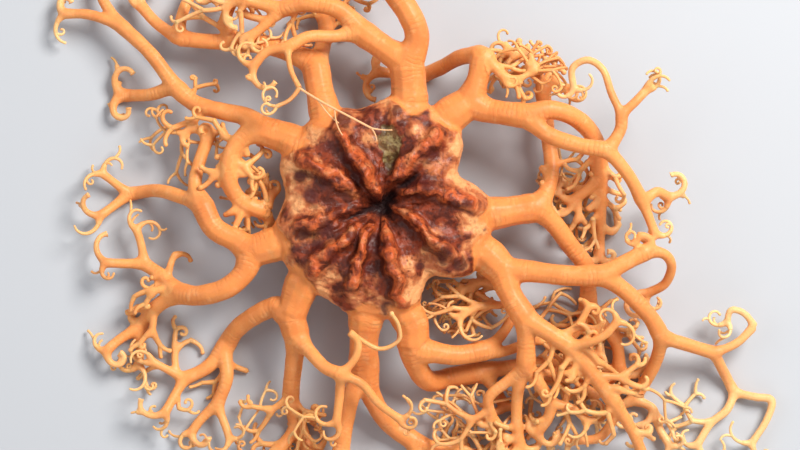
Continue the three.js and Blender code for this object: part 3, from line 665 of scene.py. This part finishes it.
# The disc: a sphere drawn out to its outline, with ten ribs, a pit in the middle and two slits that run out from it.
disc.update({
    "ribHeight": 4.2,
    "ribs": [  # route on the disc, prominence and half width, anticlockwise from the upper right
        ([(2.5, 7), (7.5, 13), (12.5, 17.5), (18, 22.5)], 0.8, 2),
        ([(3, 23), (5.5, 31)], 0.45, 1.8),
        ([(-0.4, 2.2), (-4, 9), (-8, 15.5), (-12, 22)], 1.2, 1.8),
        ([(-6, 3.4), (-14, 8.5), (-21, 12), (-27, 14.5)], 0.85, 2.2),
        ([(-7, -0.4), (-15, -3), (-22, -5), (-29, -6.5)], 0.65, 2),
        ([(-6.5, -5), (-12, -10), (-17.5, -16), (-23, -22)], 0.85, 1.9),
        ([(-3, -5.5), (-5.5, -12), (-8, -18), (-9.5, -25)], 0.9, 1.8),
        ([(0.3, -3.6), (1.6, -11), (3.8, -19), (6.8, -29.5)], 1.25, 1.65),
        ([(2.4, 0.4), (8.5, -4), (15, -10), (22, -16)], 1.15, 1.7),
        ([(5.5, 4), (12, 5.3), (18.5, 4), (24, 1.6), (29, 1.5)], 0.8, 2)],
    "slits": [  # route, depth and half width
        ([(0, 0.6), (4, 4.2), (8, 7.6), (13.5, 11.6)], 3, 1.7),
        ([(0, 0), (-4, -0.8), (-8, -2.6), (-13, -5.2)], 2.2, 1.3)],
    "pit": (3.6, 3),  # half width and depth
    "deepest": -2.2,  # below this the pit and the slits flatten out
    "tear": ((2.4, 17), (4.6, 8), 1.5),  # a sunken granular patch: centre, half widths and depth
    "violetAndShade": [  # dark violet brown blotches, x, y, radius: real stains, and those crowded on the left half are painted shade that darkens that side
        (-10.5, 13.5, 3), (-7.5, 8.5, 2.4), (13.5, 6.8, 3.6), (9, 6.5, 2.6), (-2.6, -11.5, 2.8), (-3.4, -18, 2.2),
        (18.5, -13.2, 2.6), (23, -17, 2.4), (-1, 23.5, 2.8), (4.5, 28, 2.2), (-16, -6.6, 2.6), (-24, -8, 2.6),
        (11.4, -17.6, 1.5), (2, -30, 2.2), (-14.5, -14.5, 2.4), (15, 15.5, 2.6), (-11, 26, 3), (-17, 6.5, 2.4),
        (-21, 3.5, 2.6), (-13, -1.5, 2.4), (-19, -12, 2.6), (-24, 9, 2), (-15.5, 17.5, 2.4), (-8.5, -9, 2)],
    "cream": [  # pale blotches
        (-25, 0.5, 2.8), (-27, 11, 2.6), (-29, -14, 2.6), (-16, -26, 3), (13, -13, 2.6), (17.5, -6, 2.6), (25, -6, 4),
        (12, -24, 3.6), (22, 10, 4.4), (24, 17, 3.2), (-3, -25, 2.4), (20, -22, 3.6), (9, 22, 2.4), (-5, 20, 2),
        (27, -12, 3), (0, 31, 3.6), (-20, 24, 3)],
    "shade": Vector((-0.8, -0.6, 0)),  # the side of the ribs whose flanks are darkest, a real stain with painted shade on top, away from the main light
    "wrinkles": 0.55,
    "granules": 0.2,
})


def routeTree(routes):  # points every half millimetre along each route, each with its route and its share of the way
    places = []
    for n, (route, *_) in enumerate(routes):
        points = [Vector((*p, 0)) for p in route]
        knots = padded(points)
        for i in range(len(points) - 1):
            pieces = max(2, int((points[i + 1] - points[i]).length / 0.5))
            places += [(catmullRom(*knots[i:i + 4], k / pieces), n, (i + k / pieces) / (len(points) - 1))
                       for k in range(pieces + (i == len(points) - 2))]
    tree = KDTree(len(places))
    for i, (point, _, _) in enumerate(places):
        tree.insert(point, i)
    tree.balance()
    return tree, places


ribTree, ribPlaces = routeTree(disc["ribs"])
slitTree, slitPlaces = routeTree(disc["slits"])


def ribAt(x, y):  # how near the ridge of a rib, from 0 to 1, with its prominence and how far down its flank, where it is darkened partly as a real stain and partly with painted shade
    strayX, strayY = noise.noise(Vector((x, y, 1)) * 0.17), noise.noise(Vector((x, y, 6)) * 0.17)
    x, y = x + 1.5 * strayX, y + 1.5 * strayY
    nearest, i, away = ribTree.find((x, y, 0))
    _, n, share = ribPlaces[i]
    _, prominence, halfWidth = disc["ribs"][n]
    taper = 0.6 + 0.5 * smoothstep(share, 0, 0.4)
    ends = smoothstep(share, -0.05, 0.1) * (1 - 0.75 * smoothstep(share, 0.8, 1))
    lump = noise.noise(Vector((x, y, 2)) * 0.33)
    aside = away / (halfWidth * taper * (1 + 0.35 * lump))
    prominence *= 1 + 0.45 * lump
    # The flank is darkened partly as a real stain and partly with painted shade, most on the side away from the main
    # light.
    shaded = smoothstep((Vector((x, y, 0)) - nearest).dot(disc["shade"]) / max(away, 0.1), -0.5, 0.7)
    flankStainAndShade = math.exp(-((aside - 1.4) / 0.45) ** 2) * prominence * ends * (0.3 + 0.7 * shaded)
    return 1 / (1 + aside ** 4), prominence * (0.35 + 0.65 * ends), flankStainAndShade


def slitAt(x, y):
    _, i, away = slitTree.find((x, y, 0))
    _, n, share = slitPlaces[i]
    _, depth, halfWidth = disc["slits"][n]
    width = halfWidth * (1.25 - 0.8 * share)
    return math.exp(-(away / width) ** 2) * (1 - smoothstep(share, 0.75, 1)), depth


def tearAt(x, y):
    (cx, cy), (halfX, halfY), _ = disc["tear"]
    spread = halfX * (0.42 + 0.7 * smoothstep(y, cy - halfY, cy + halfY))  # wider at its outer end
    off = math.hypot((x - cx) / spread, (y - cy) / halfY) + 0.4 * noise.noise(Vector((x, y, 3)) * 0.4)
    return 1 - smoothstep(off, 0.6, 1.15)


def discShape(x, y):  # what the ribs, slits and pit add to the height of the crown
    r = math.hypot(x, y)
    share = r / rimAt(x, y)
    rise = 1 - smoothstep(share, 0.8, 1.02)
    near, prominence, _ = ribAt(x, y)
    cut, depth = slitAt(x, y)
    halfWidth, pitDepth = disc["pit"]
    z = disc["ribHeight"] * rise * (near * prominence - 0.28 * smoothstep(share, 0.1, 0.4))
    z -= depth * cut * (1 - 0.6 * near) + pitDepth * math.exp(-(r / halfWidth) ** 2)
    z -= disc["tear"][2] * tearAt(x, y) * rise
    swell = noise.noise(Vector((x * 0.11, y * 0.11, 7))) + 0.55 * noise.noise(Vector((x * 0.27, y * 0.27, 9)))
    return max(z, disc["deepest"] + 0.1 * z) + 1.2 * swell * rise * smoothstep(r, 2, 7)


def blotchAt(x, y, blotches):
    return max(math.exp(-((x - bx) ** 2 + (y - by) ** 2) / radius ** 2) for bx, by, radius in blotches)


def outlineAt(t):  # the disc's outline, from 0 at the crown to 1 at the mouth
    outline = disc["outline"]
    i = min(int(t * (len(outline) - 1)), len(outline) - 2)
    knots = [Vector(outline[max(0, min(len(outline) - 1, k))]) for k in range(i - 1, i + 3)]
    return catmullRom(*knots, t * (len(outline) - 1) - i)


def discForm():
    rimHeight = dict(disc["outline"])[1]
    bm = bmesh.new()
    bmesh.ops.create_uvsphere(bm, u_segments=240, v_segments=140, radius=1)
    for vert in bm.verts:
        around = math.atan2(vert.co.y, vert.co.x)
        share, height = outlineAt(math.acos(max(-1, min(1, vert.co.z))) / math.pi)
        out = max(share, 0) * rimAt(math.cos(around), math.sin(around))
        x, y = out * math.cos(around), out * math.sin(around)
        vert.co = (x, y, height + (discShape(x, y) if height > rimHeight and vert.co.z > 0 else 0))
    return meshFrom(bm, "discForm")


def fusedSkin():  # disc and thick limbs as one smooth surface, the limbs thicker by what the smoothing takes off again
    lines = [[(p, r + skin["smoothing"] * skin["voxel"] ** 2 / (8 * r)) for p, r in line] for line in fused]
    bm = bmesh.new()
    for form in (discForm(), tubes("limbs", lines, 3)):
        bm.from_mesh(form)
        bpy.data.meshes.remove(form)
    holder = linked("fusedSkin", meshFrom(bm, "fusedSkin"))
    remesh = holder.modifiers.new("remesh", "REMESH")
    remesh.mode, remesh.voxel_size, remesh.use_smooth_shade = "VOXEL", skin["voxel"], True
    smooth = holder.modifiers.new("smooth", "SMOOTH")
    smooth.factor, smooth.iterations = 0.5, skin["smoothing"]
    return evaluated(holder)


def limbTree(chosen, parts):
    places = []
    for made in chosen:
        stations = made["stations"]
        for s, after in zip(stations, [*stations[1:], None]):
            for n in range(parts if after else 1):
                t = n / parts
                if n:
                    point = s.point.lerp(after.point, t)
                    places.append((point, s.radius + (after.radius - s.radius) * t, s.along + (point - s.point).length,
                                   s.direction, made))
                else:
                    places.append((s.point, s.radius, s.along, s.direction, made))
    tree = KDTree(len(places))
    for i, at in enumerate(places):
        tree.insert(at[0], i)
    tree.balance()
    return tree, places


def nearestLimb(co, tree, places, count):  # the limb whose surface is nearest, and how far that is
    best, found = 1e9, None
    for _, i, away in tree.find_n(co, count):
        off = away - places[i][1]
        if off < best:
            best, found = off, places[i]
    return best, found


layerNames = (
    "along", "girth", "discShare", "out", "rib", "flankStainAndShade", "recessShade", "tear", "violetAndShade", "cream", "under", "strand")
parting = {  # where the disc gives way to the arms, in distances from its centre and in heights
    "ring": 2,  # the pieces meet this far outside the disc's radius
    "fadeEnd": 6,  # its colours end this far outside it
    "fade": (1.2, 3.8),  # and they begin, and are full, this far off the arms' first lengths
    "allDisc": (22, 15),  # within this distance and above this height they are full everywhere
    "crossing": (0.7, 0.5),  # nearer than this to a thick or a thin limb over the disc, the skin is that limb's
    "mouth": (12, 17.2),  # within this distance and below this height is the ceiling of the mouth
    "underside": (17, 21),  # outside the mouth, the plain underside turns into the back between these heights
    "lowestMarks": 16,
}


def paintDisc(vert, layers):
    x, y, z = vert.co
    out = math.hypot(x, y) / rimAt(x, y)
    near, prominence, flankStainAndShade = ribAt(x, y)
    cut, _ = slitAt(x, y)
    pit = 1.25 * math.exp(-(math.hypot(x - 0.8, y - 0.4) / 4.4) ** 2)
    vert[layers["out"]] = out
    vert[layers["rib"]] = near * min(1, prominence)
    # The flank's darkening: partly a real stain, partly painted shade.
    vert[layers["flankStainAndShade"]] = flankStainAndShade
    # Painted shade in the pit and the slits, weaker where a rib crosses them.
    vert[layers["recessShade"]] = min(1, max(cut, pit) * (1 - 0.55 * near * min(1, prominence)))
    vert[layers["tear"]] = tearAt(x, y)
    # Violet blotches: real stains, and on the left half painted shade.
    vert[layers["violetAndShade"]] = blotchAt(x, y, disc["violetAndShade"])
    vert[layers["cream"]] = blotchAt(x, y, disc["cream"])


def paint(bm, thick, thin):  # how far along the arm each corner is, how thick the limb is there, and the disc's marks
    layers = {name: bm.verts.layers.float.new(name) for name in layerNames}
    owner = bm.verts.layers.int.new("owner")
    for vert in bm.verts:
        co = vert.co
        if thick:
            off, (point, radius, along, direction, made) = nearestLimb(co, *thick, 4)
            thinOff, thinPlace = nearestLimb(co, *thin, 3)
            if thinOff < off:
                radius += (thinPlace[1] - radius) * smoothstep(off - thinOff, 0, 1.4)
        else:
            off, (point, radius, along, direction, made) = nearestLimb(co, *thin, 3)
        vert[layers["along"]] = along + max(-1, min(1, (co - point).dot(direction)))
        vert[layers["girth"]] = radius
        vert[layers["strand"]] = made.get("isStrand", False)
        vert[owner] = made["arm"]
        r = math.hypot(co.x, co.y)
        if not thick or r > disc["radius"] + parting["fadeEnd"]:
            continue
        nearThick, nearThin = parting["crossing"]
        if off < nearThick and made["host"] and made["host"]["host"] or thinOff < nearThin:
            continue
        if r < disc["radius"] + parting["ring"]:
            vert[owner] = 0
        baseOff, _ = nearestLimb(co, *base, 4)
        innerRadius, innerHeight = parting["allDisc"]
        fades = r > innerRadius or co.z < innerHeight
        vert[layers["discShare"]] = smoothstep(baseOff, *parting["fade"]) if fades else 1
        mouthRadius, ceiling = parting["mouth"]
        if r > mouthRadius:
            vert[layers["under"]] = 1 - smoothstep(co.z, *parting["underside"])
        else:
            vert[layers["under"]] = vert.normal.z < 0 and co.z < ceiling
        if co.z > parting["lowestMarks"]:
            paintDisc(vert, layers)


fusedMesh = fusedSkin()
print("fused skin:", len(fusedMesh.vertices), "corners")
thick = limbTree([made for made in limbs if isThick(made)], 2)
thin = limbTree([made for made in limbs if not isThick(made)], 1)
base = limbTree([made for made in limbs if not made["host"] or not made["host"]["host"]], 2)
bm = bmesh.new()
bm.from_mesh(fusedMesh)
bm.normal_update()
paint(bm, thick, thin)
layers = {name: bm.verts.layers.float[name] for name in layerNames}
bm.normal_update()
for vert in bm.verts:  # wrinkles and granules of the disc, and the soles that lie on the floor
    share = vert[layers["discShare"]]
    if share > 0.01:
        co = vert.co
        r, around = math.hypot(co.x, co.y), math.atan2(co.y, co.x)
        turning = Vector((math.cos(around), math.sin(around), 0))
        fold = (noise.noise(turning * 6.5 + Vector((0, 0, r * 0.16)))
                + 0.5 * noise.noise(turning * 13 + Vector((0, 0, r * 0.3 + 5))))
        grain = noise.noise(co * 0.9) + 1.6 * vert[layers["tear"]] * noise.noise(co * 0.75 + Vector((9, 0, 0)))
        vert.co = co + vert.normal * share * (disc["wrinkles"] * fold + disc["granules"] * grain)
    keepInside(vert)
bm.to_mesh(fusedMesh)
bm.free()
print("painted")


# The skin is parted into the disc and five arms, on a ring outside the rim. They meet there corner to corner, so that
# no seam shows.
def finish(piece, material, slot, *nodes):
    toFrame = Matrix.Scale(mm, 4) @ Matrix.Translation((*disc["centre"], 0))
    piece.data.transform(toFrame)
    piece.data.materials.clear()
    piece.data.materials.append(material)
    piece.data.polygons.foreach_set("use_smooth", [True] * len(piece.data.polygons))
    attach(piece, "root")
    if nodes:
        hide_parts(*nodes)
    return piece


def skinPiece(name, which):
    bm = bmesh.new()
    bm.from_mesh(fusedMesh)
    owner = bm.verts.layers.int["owner"]
    others = [face for face in bm.faces if max(vert[owner] for vert in face.verts) != which]
    bmesh.ops.delete(bm, geom=others, context="FACES")
    rims = [edge for edge in bm.edges if edge.is_boundary]
    lip = bmesh.ops.extrude_edge_only(bm, edges=rims)["geom"]
    for vert in [part for part in lip if isinstance(part, bmesh.types.BMVert)]:  # the cap sits back inside the limb
        _, (axis, radius, *_) = nearestLimb(vert.co, *base, 4)
        if (axis - vert.co).length < 2 * radius:
            back = Vector((vert.co.x, vert.co.y, 0)).normalized() * (-0.8 if which == 0 else 0.8)
            vert.co = vert.co.lerp(axis, 0.3) + back
    bmesh.ops.holes_fill(bm, edges=[edge for edge in bm.edges if edge.is_boundary], sides=0)
    bmesh.ops.recalc_face_normals(bm, faces=bm.faces[:])
    for edge in rims:  # nor does it bend the shading of the skin beside it
        edge.smooth = False
    return linked(name, meshFrom(bm, name))


def twigPiece(name, which):
    mesh = tubes(name, single[which], 1)
    bm = bmesh.new()
    bm.from_mesh(mesh)
    paint(bm, None, limbTree([made for made in limbs if made["arm"] == which and not isThick(made)], 2))
    for vert in bm.verts:
        keepInside(vert)
    bm.to_mesh(mesh)
    bm.free()
    return linked(name, mesh)


# The mouth under the disc: five jaws between the arms, each with a comb of small teeth.
mouth = {"radius": 8.4, "tip": 2.2, "height": 15.7, "width": 2.7, "teeth": 9}


def mouthJaws():
    bm = bmesh.new()
    for before, after in zip(disc["armAngles"], [*disc["armAngles"][1:], disc["armAngles"][0] + 360]):
        towards = Matrix.Rotation(math.radians((before + after) / 2), 4, "Z")
        middle, halfLength = (mouth["radius"] + mouth["tip"]) / 2, (mouth["radius"] - mouth["tip"]) / 2 + 0.5
        jaw = bmesh.ops.create_uvsphere(bm, u_segments=32, v_segments=20, radius=1)["verts"]
        for vert in jaw:  # an egg, broad at the mouth's edge and keeled along its lower side
            narrow = 0.62 + 0.38 * vert.co.x
            lump = 1 + 0.1 * noise.noise(vert.co * 2.2 + towards.translation)
            vert.co = Vector((vert.co.x * halfLength, vert.co.y * mouth["width"] * narrow * lump,
                              vert.co.z * 1.5 * (0.7 + 0.3 * narrow) * lump))
        bmesh.ops.transform(bm, matrix=towards @ Matrix.Translation((middle, 0, mouth["height"] + 0.7)), verts=jaw)
        for n in range(mouth["teeth"]):  # three rows of three at the jaw's point, and they lean to the middle
            row, column = divmod(n, 3)
            tooth = bmesh.ops.create_cone(bm, cap_ends=True, segments=8, radius1=0.34, radius2=0.06,
                                          depth=1.5 - 0.2 * row)["verts"]
            lean = Matrix.Rotation(math.radians(-68 - 12 * row), 4, "Y")
            at = Matrix.Translation((mouth["tip"] + 0.2 + 0.75 * row, (column - 1) * (0.5 + 0.16 * row),
                                     mouth["height"] + 0.35 - 0.35 * row))
            bmesh.ops.transform(bm, matrix=towards @ at @ lean, verts=tooth)
    return linked("mouthJaws", meshFrom(bm, "mouthJaws"))


# Materials. Lengths in the nodes are in metres, as Object coordinates are, and the skin's own attributes are in mm.
class Nodes:  # a short way to add and join nodes
    def __init__(self, name):
        self.material = bpy.data.materials.new(name)
        self.material.use_nodes = True
        self.tree = self.material.node_tree
        self.shader = self.tree.nodes["Principled BSDF"]

    def add(self, kind, values=(), **settings):
        node = self.tree.nodes.new("ShaderNode" + kind)
        for key, value in settings.items():
            setattr(node, key, value)
        for key, value in dict(values).items():
            if isinstance(value, bpy.types.NodeSocket):
                self.tree.links.new(value, node.inputs[key])
            else:
                node.inputs[key].default_value = value
        return node

    def attribute(self, name):
        return self.add("Attribute", attribute_name=name).outputs["Fac"]

    def objectPlace(self):
        return self.add("TexCoord").outputs["Object"]

    def noise(self, place, scale, detail=3, rough=0.55, distortion=0):
        return self.add("TexNoise", {"Vector": place, "Scale": scale, "Detail": detail, "Roughness": rough,
                                     "Distortion": distortion}).outputs["Fac"]

    def math(self, operation, a, b=0.0):
        return self.add("Math", {0: a, 1: b}, operation=operation).outputs[0]

    def plus(self, a, b):
        return self.math("ADD", a, b)

    def times(self, a, b):
        return self.math("MULTIPLY", a, b)

    def span(self, value, low, high, toLow=0.0, toHigh=1.0):
        return self.add("MapRange", {"Value": value, "From Min": low, "From Max": high, "To Min": toLow,
                                     "To Max": toHigh}, interpolation_type="SMOOTHSTEP").outputs["Result"]

    def mix(self, share, a, b):
        node = self.add("Mix", data_type="RGBA")
        for socket, value in zip([node.inputs[0], node.inputs[6], node.inputs[7]], (share, a, b)):
            if isinstance(value, bpy.types.NodeSocket):
                self.tree.links.new(value, socket)
            else:
                socket.default_value = value if isinstance(value, float) else (*value, 1)
        return node.outputs[2]

    def bump(self, height, distance, strength=1.0, below=None):
        node = self.add("Bump", {"Height": height, "Distance": distance, "Strength": strength})
        if below:
            self.tree.links.new(below, node.inputs["Normal"])
        return node.outputs["Normal"]

    def to(self, socket, value):
        self.tree.links.new(value, self.shader.inputs[socket])


colours = {  # linear
    "tip": (0.88, 0.55, 0.25),
    "innerTwig": (0.80, 0.37, 0.12),
    "branch": (0.78, 0.31, 0.092),
    "arm": (0.74, 0.25, 0.066),
    "armShade": (0.52, 0.135, 0.034),
    "discTan": (0.44, 0.125, 0.042),
    "discCream": (0.74, 0.33, 0.13),
    "discRed": (0.23, 0.038, 0.012),
    # discBrown is the skin's own dark brown, and also the painted shade on the ribs' flanks
    "discBrown": (0.085, 0.014, 0.006),
    "ribOrange": (0.50, 0.10, 0.026),
    "ribRed": (0.22, 0.036, 0.012),
    # ribHighlight is a painted highlight on the ribs
    "ribHighlight": (0.58, 0.2, 0.075),
    "specks": (0.05, 0.01, 0.007),
    # violet: real blotches, and the painted shade of the left half
    "violetAndShade": (0.075, 0.012, 0.009),
    # pit: painted shade in the pit and the slits
    "pit": (0.024, 0.006, 0.006),
    "tear": (0.09, 0.055, 0.016),
    "tearPale": (0.25, 0.19, 0.075),
    "strand": (0.78, 0.40, 0.2),
    "jaw": (0.74, 0.42, 0.2),
}


def starSkinMaterial():
    n = Nodes("starSkin")
    place = n.objectPlace()
    girth, along = n.attribute("girth"), n.attribute("along")
    broad, patchy, fine = n.noise(place, 90), n.noise(place, 320, 4), n.noise(place, 1500, 3)

    # arms: pale towards their far thin ends, deeper orange where they are thick, with faint fine bands across
    twig = n.mix(n.span(along, 70, 135), colours["innerTwig"], colours["tip"])
    branch = n.mix(n.span(along, 95, 140, 0.0, 0.6), colours["branch"], colours["tip"])
    arm = n.mix(n.span(girth, 0.4, 1.7), twig, branch)
    arm = n.mix(n.span(girth, 1.4, 3.8), arm, colours["arm"])
    arm = n.mix(n.span(broad, 0.42, 0.72, 0.0, 0.4), arm, colours["armShade"])
    arm = n.mix(n.span(patchy, 0.5, 0.75, 0.0, 0.22), arm, colours["tip"])
    waver = n.times(n.noise(place, 260, 2), 2.2)
    wave = n.math("SINE", n.times(n.plus(along, waver), 2 * math.pi / 1.45))
    band = n.times(n.span(wave, -0.2, 1.0), n.span(girth, 0.8, 2.4))
    band = n.times(band, n.span(n.noise(place, 160, 2), 0.42, 0.64))
    arm = n.mix(n.times(band, 0.16), arm, colours["armShade"])
    arm = n.mix(n.span(fine, 0.45, 0.8, 0.0, 0.22), arm, colours["armShade"])
    arm = n.mix(n.attribute("strand"), arm, colours["strand"])

    # disc: red brown towards the middle, tan and cream towards the rim, orange ribs with dark specks and painted
    # highlights, rib flanks darkened by a stain and by painted shade, violet blotches that on the left half are
    # painted shade, and painted shade in the pit and slits
    rib, recessShade, tear, out = (n.attribute(name) for name in ("rib", "recessShade", "tear", "out"))
    flow = n.noise(place, 150, 3, 0.5, 0.35)
    second = n.noise(n.add("Mapping", {"Vector": place, "Location": (0.3, 0.1, 0.2)}).outputs[0], 290, 3.5, 0.52, 0.5)
    rimward = n.plus(n.span(out, 0.25, 0.9, -0.13, 0.02), n.span(out, 0.84, 1.02, 0.0, 0.12))
    creamy = n.plus(n.times(n.attribute("cream"), 0.15), n.plus(flow, rimward))
    disc = n.mix(n.span(second, 0.4, 0.6), colours["discBrown"], colours["discRed"])
    disc = n.mix(n.span(creamy, 0.47, 0.6), disc, colours["discTan"])
    disc = n.mix(n.span(n.plus(creamy, n.times(second, 0.4)), 0.77, 0.92), disc, colours["discCream"])
    ragged = n.times(n.math("SUBTRACT", second, 0.5), 1.6)
    # Darker rib flanks, partly a real stain and partly painted shade.
    flankStainAndShade = n.plus(n.attribute("flankStainAndShade"), n.times(ragged, 0.6))
    disc = n.mix(n.times(n.span(flankStainAndShade, 0.2, 0.8), 0.8), disc, colours["discBrown"])
    ribColour = n.mix(n.span(second, 0.4, 0.56), colours["ribRed"], colours["ribOrange"])
    # Painted highlights in patches on the ribs.
    ribColour = n.mix(n.span(n.noise(place, 210, 4, 0.6), 0.5, 0.66, 0.0, 0.8), ribColour, colours["ribHighlight"])
    disc = n.mix(n.span(n.plus(rib, ragged), 0.3, 0.8), disc, ribColour)
    specks = n.span(n.noise(place, 900, 2, 0.5), 0.57, 0.66)
    speckled = n.times(specks, n.span(out, 0.6, 1.0, 0.5, 0.1))
    disc = n.mix(speckled, disc, colours["specks"])
    # Violet blotches: real stains, and on the left half painted shade.
    violetAndShade = n.plus(n.plus(n.attribute("violetAndShade"), ragged), n.times(n.math("SUBTRACT", flow, 0.5), 1.6))
    disc = n.mix(n.times(n.span(violetAndShade, 0.3, 0.8), 0.85), disc, colours["violetAndShade"])
    tearColour = n.mix(n.span(n.noise(place, 620, 3), 0.46, 0.6), colours["tear"], colours["tearPale"])
    tearShare = n.span(n.plus(tear, n.times(ragged, 1.1)), 0.3, 0.95)
    disc = n.mix(n.times(tearShare, 0.8), disc, tearColour)
    # Painted shade in the pit and the slits.
    disc = n.mix(n.span(n.plus(recessShade, n.times(ragged, 0.3)), 0.25, 0.95), disc, colours["pit"])
    discColour = n.mix(n.attribute("under"), disc, arm)

    edge = n.plus(n.attribute("discShare"), n.times(n.math("SUBTRACT", patchy, 0.5), 0.9))
    onDisc = n.span(edge, 0.25, 0.75)
    n.to("Base Color", n.mix(onDisc, arm, discColour))
    wet = n.span(n.noise(place, 500, 3), 0.35, 0.7, 0.3, 0.5)
    wet = n.plus(wet, n.times(recessShade, 0.3))
    dry = n.span(fine, 0.3, 0.7, 0.42, 0.56)
    n.to("Roughness", n.add("Mix", {0: onDisc, 2: dry, 3: wet}).outputs[0])
    n.to("Subsurface Weight", n.span(onDisc, 0.0, 1.0, 0.25, 0.06))
    normal = n.bump(n.times(band, -1.0), 0.00007)
    normal = n.bump(fine, 0.0001, 0.5, normal)
    normal = n.bump(n.times(n.noise(place, 420, 5, 0.62), onDisc), 0.0008, 0.8, normal)
    n.to("Normal", normal)
    shader = n.shader.inputs
    shader["Subsurface Radius"].default_value = (1, 0.42, 0.18)
    shader["Subsurface Scale"].default_value = 0.0025
    shader["Coat Weight"].default_value = 0.06
    shader["Coat Roughness"].default_value = 0.2
    shader["IOR"].default_value = 1.33
    return n.material


def jawMaterial():
    n = Nodes("jaw")
    place = n.objectPlace()
    patchy = n.noise(place, 500, 4)
    n.to("Base Color", n.mix(n.span(patchy, 0.4, 0.65), colours["jaw"], colours["branch"]))
    n.to("Roughness", n.span(patchy, 0.3, 0.7, 0.34, 0.5))
    n.to("Normal", n.bump(n.noise(place, 1400, 3), 0.0001, 0.6))
    n.shader.inputs["Subsurface Weight"].default_value = 0.2
    n.shader.inputs["Subsurface Radius"].default_value = (1, 0.42, 0.18)
    n.shader.inputs["Subsurface Scale"].default_value = 0.0015
    return n.material


starSkin = starSkinMaterial()
finish(skinPiece("discSkin", 0), starSkin, "disc_skin", "disc")
finish(mouthJaws(), jawMaterial(), "disc_skin")
for arm in range(1, 6):
    nodes = [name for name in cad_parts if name.startswith("arm%d_" % arm)]
    finish(skinPiece("arm%dSkin" % arm, arm), starSkin, "arm_skin", *nodes)
    finish(twigPiece("arm%dTwigs" % arm, arm), starSkin, "arm_skin")
print("skins made")

# Camera straight above, as the picture looks at the star.
camera = {"aim": (-4.4, -6.4, 12), "height": 900, "width": 240}
view = bpy.data.cameras.new("camera")
view.sensor_width = 36
view.lens = view.sensor_width * (camera["height"] - camera["aim"][2]) / camera["width"]
viewer = linked("camera", view)
viewer.location = Vector((camera["aim"][0], camera["aim"][1], camera["height"])) * mm
bpy.context.scene.camera = viewer

# A plain pale floor and soft studio light.
floor = {"size": 3, "colour": (0.46, 0.48, 0.51), "mottle": 0.97}
bm = bmesh.new()
bmesh.ops.create_grid(bm, x_segments=1, y_segments=1, size=floor["size"] / 2)
ground = linked("floor", meshFrom(bm, "floor"))
paper = Nodes("paper")
mottled = [c * floor["mottle"] for c in floor["colour"]]
paper.to("Base Color", paper.mix(paper.noise(paper.objectPlace(), 6, 2), floor["colour"], mottled))
paper.shader.inputs["Roughness"].default_value = 0.8
ground.data.materials.append(paper.material)

lights = [  # place in metres, size, watts, colour
    ((0.5, 0.5, 0.72), 0.5, 16.5, (1, 0.97, 0.93)),
    ((-0.7, 0.15, 0.6), 0.9, 2.6, (0.93, 0.96, 1)),
    ((0.1, -0.8, 0.5), 0.9, 2.2, (1, 0.96, 0.92))]
for i, (where, size, watts, colour) in enumerate(lights):
    lamp = bpy.data.lights.new("softLight%d" % i, "AREA")
    lamp.shape, lamp.size, lamp.energy, lamp.color = "DISK", size, watts, colour
    holder = linked(lamp.name, lamp)
    holder.location = where
    holder.rotation_euler = (-Vector(where)).to_track_quat("-Z", "Y").to_euler()
world = bpy.data.worlds.new("studio")
world.use_nodes = True
world.node_tree.nodes["Background"].inputs["Color"].default_value = (0.95, 0.96, 1, 1)
world.node_tree.nodes["Background"].inputs["Strength"].default_value = 0.33
bpy.context.scene.world = world
bpy.context.scene.view_settings.view_transform = "Standard"

print("scene ready")
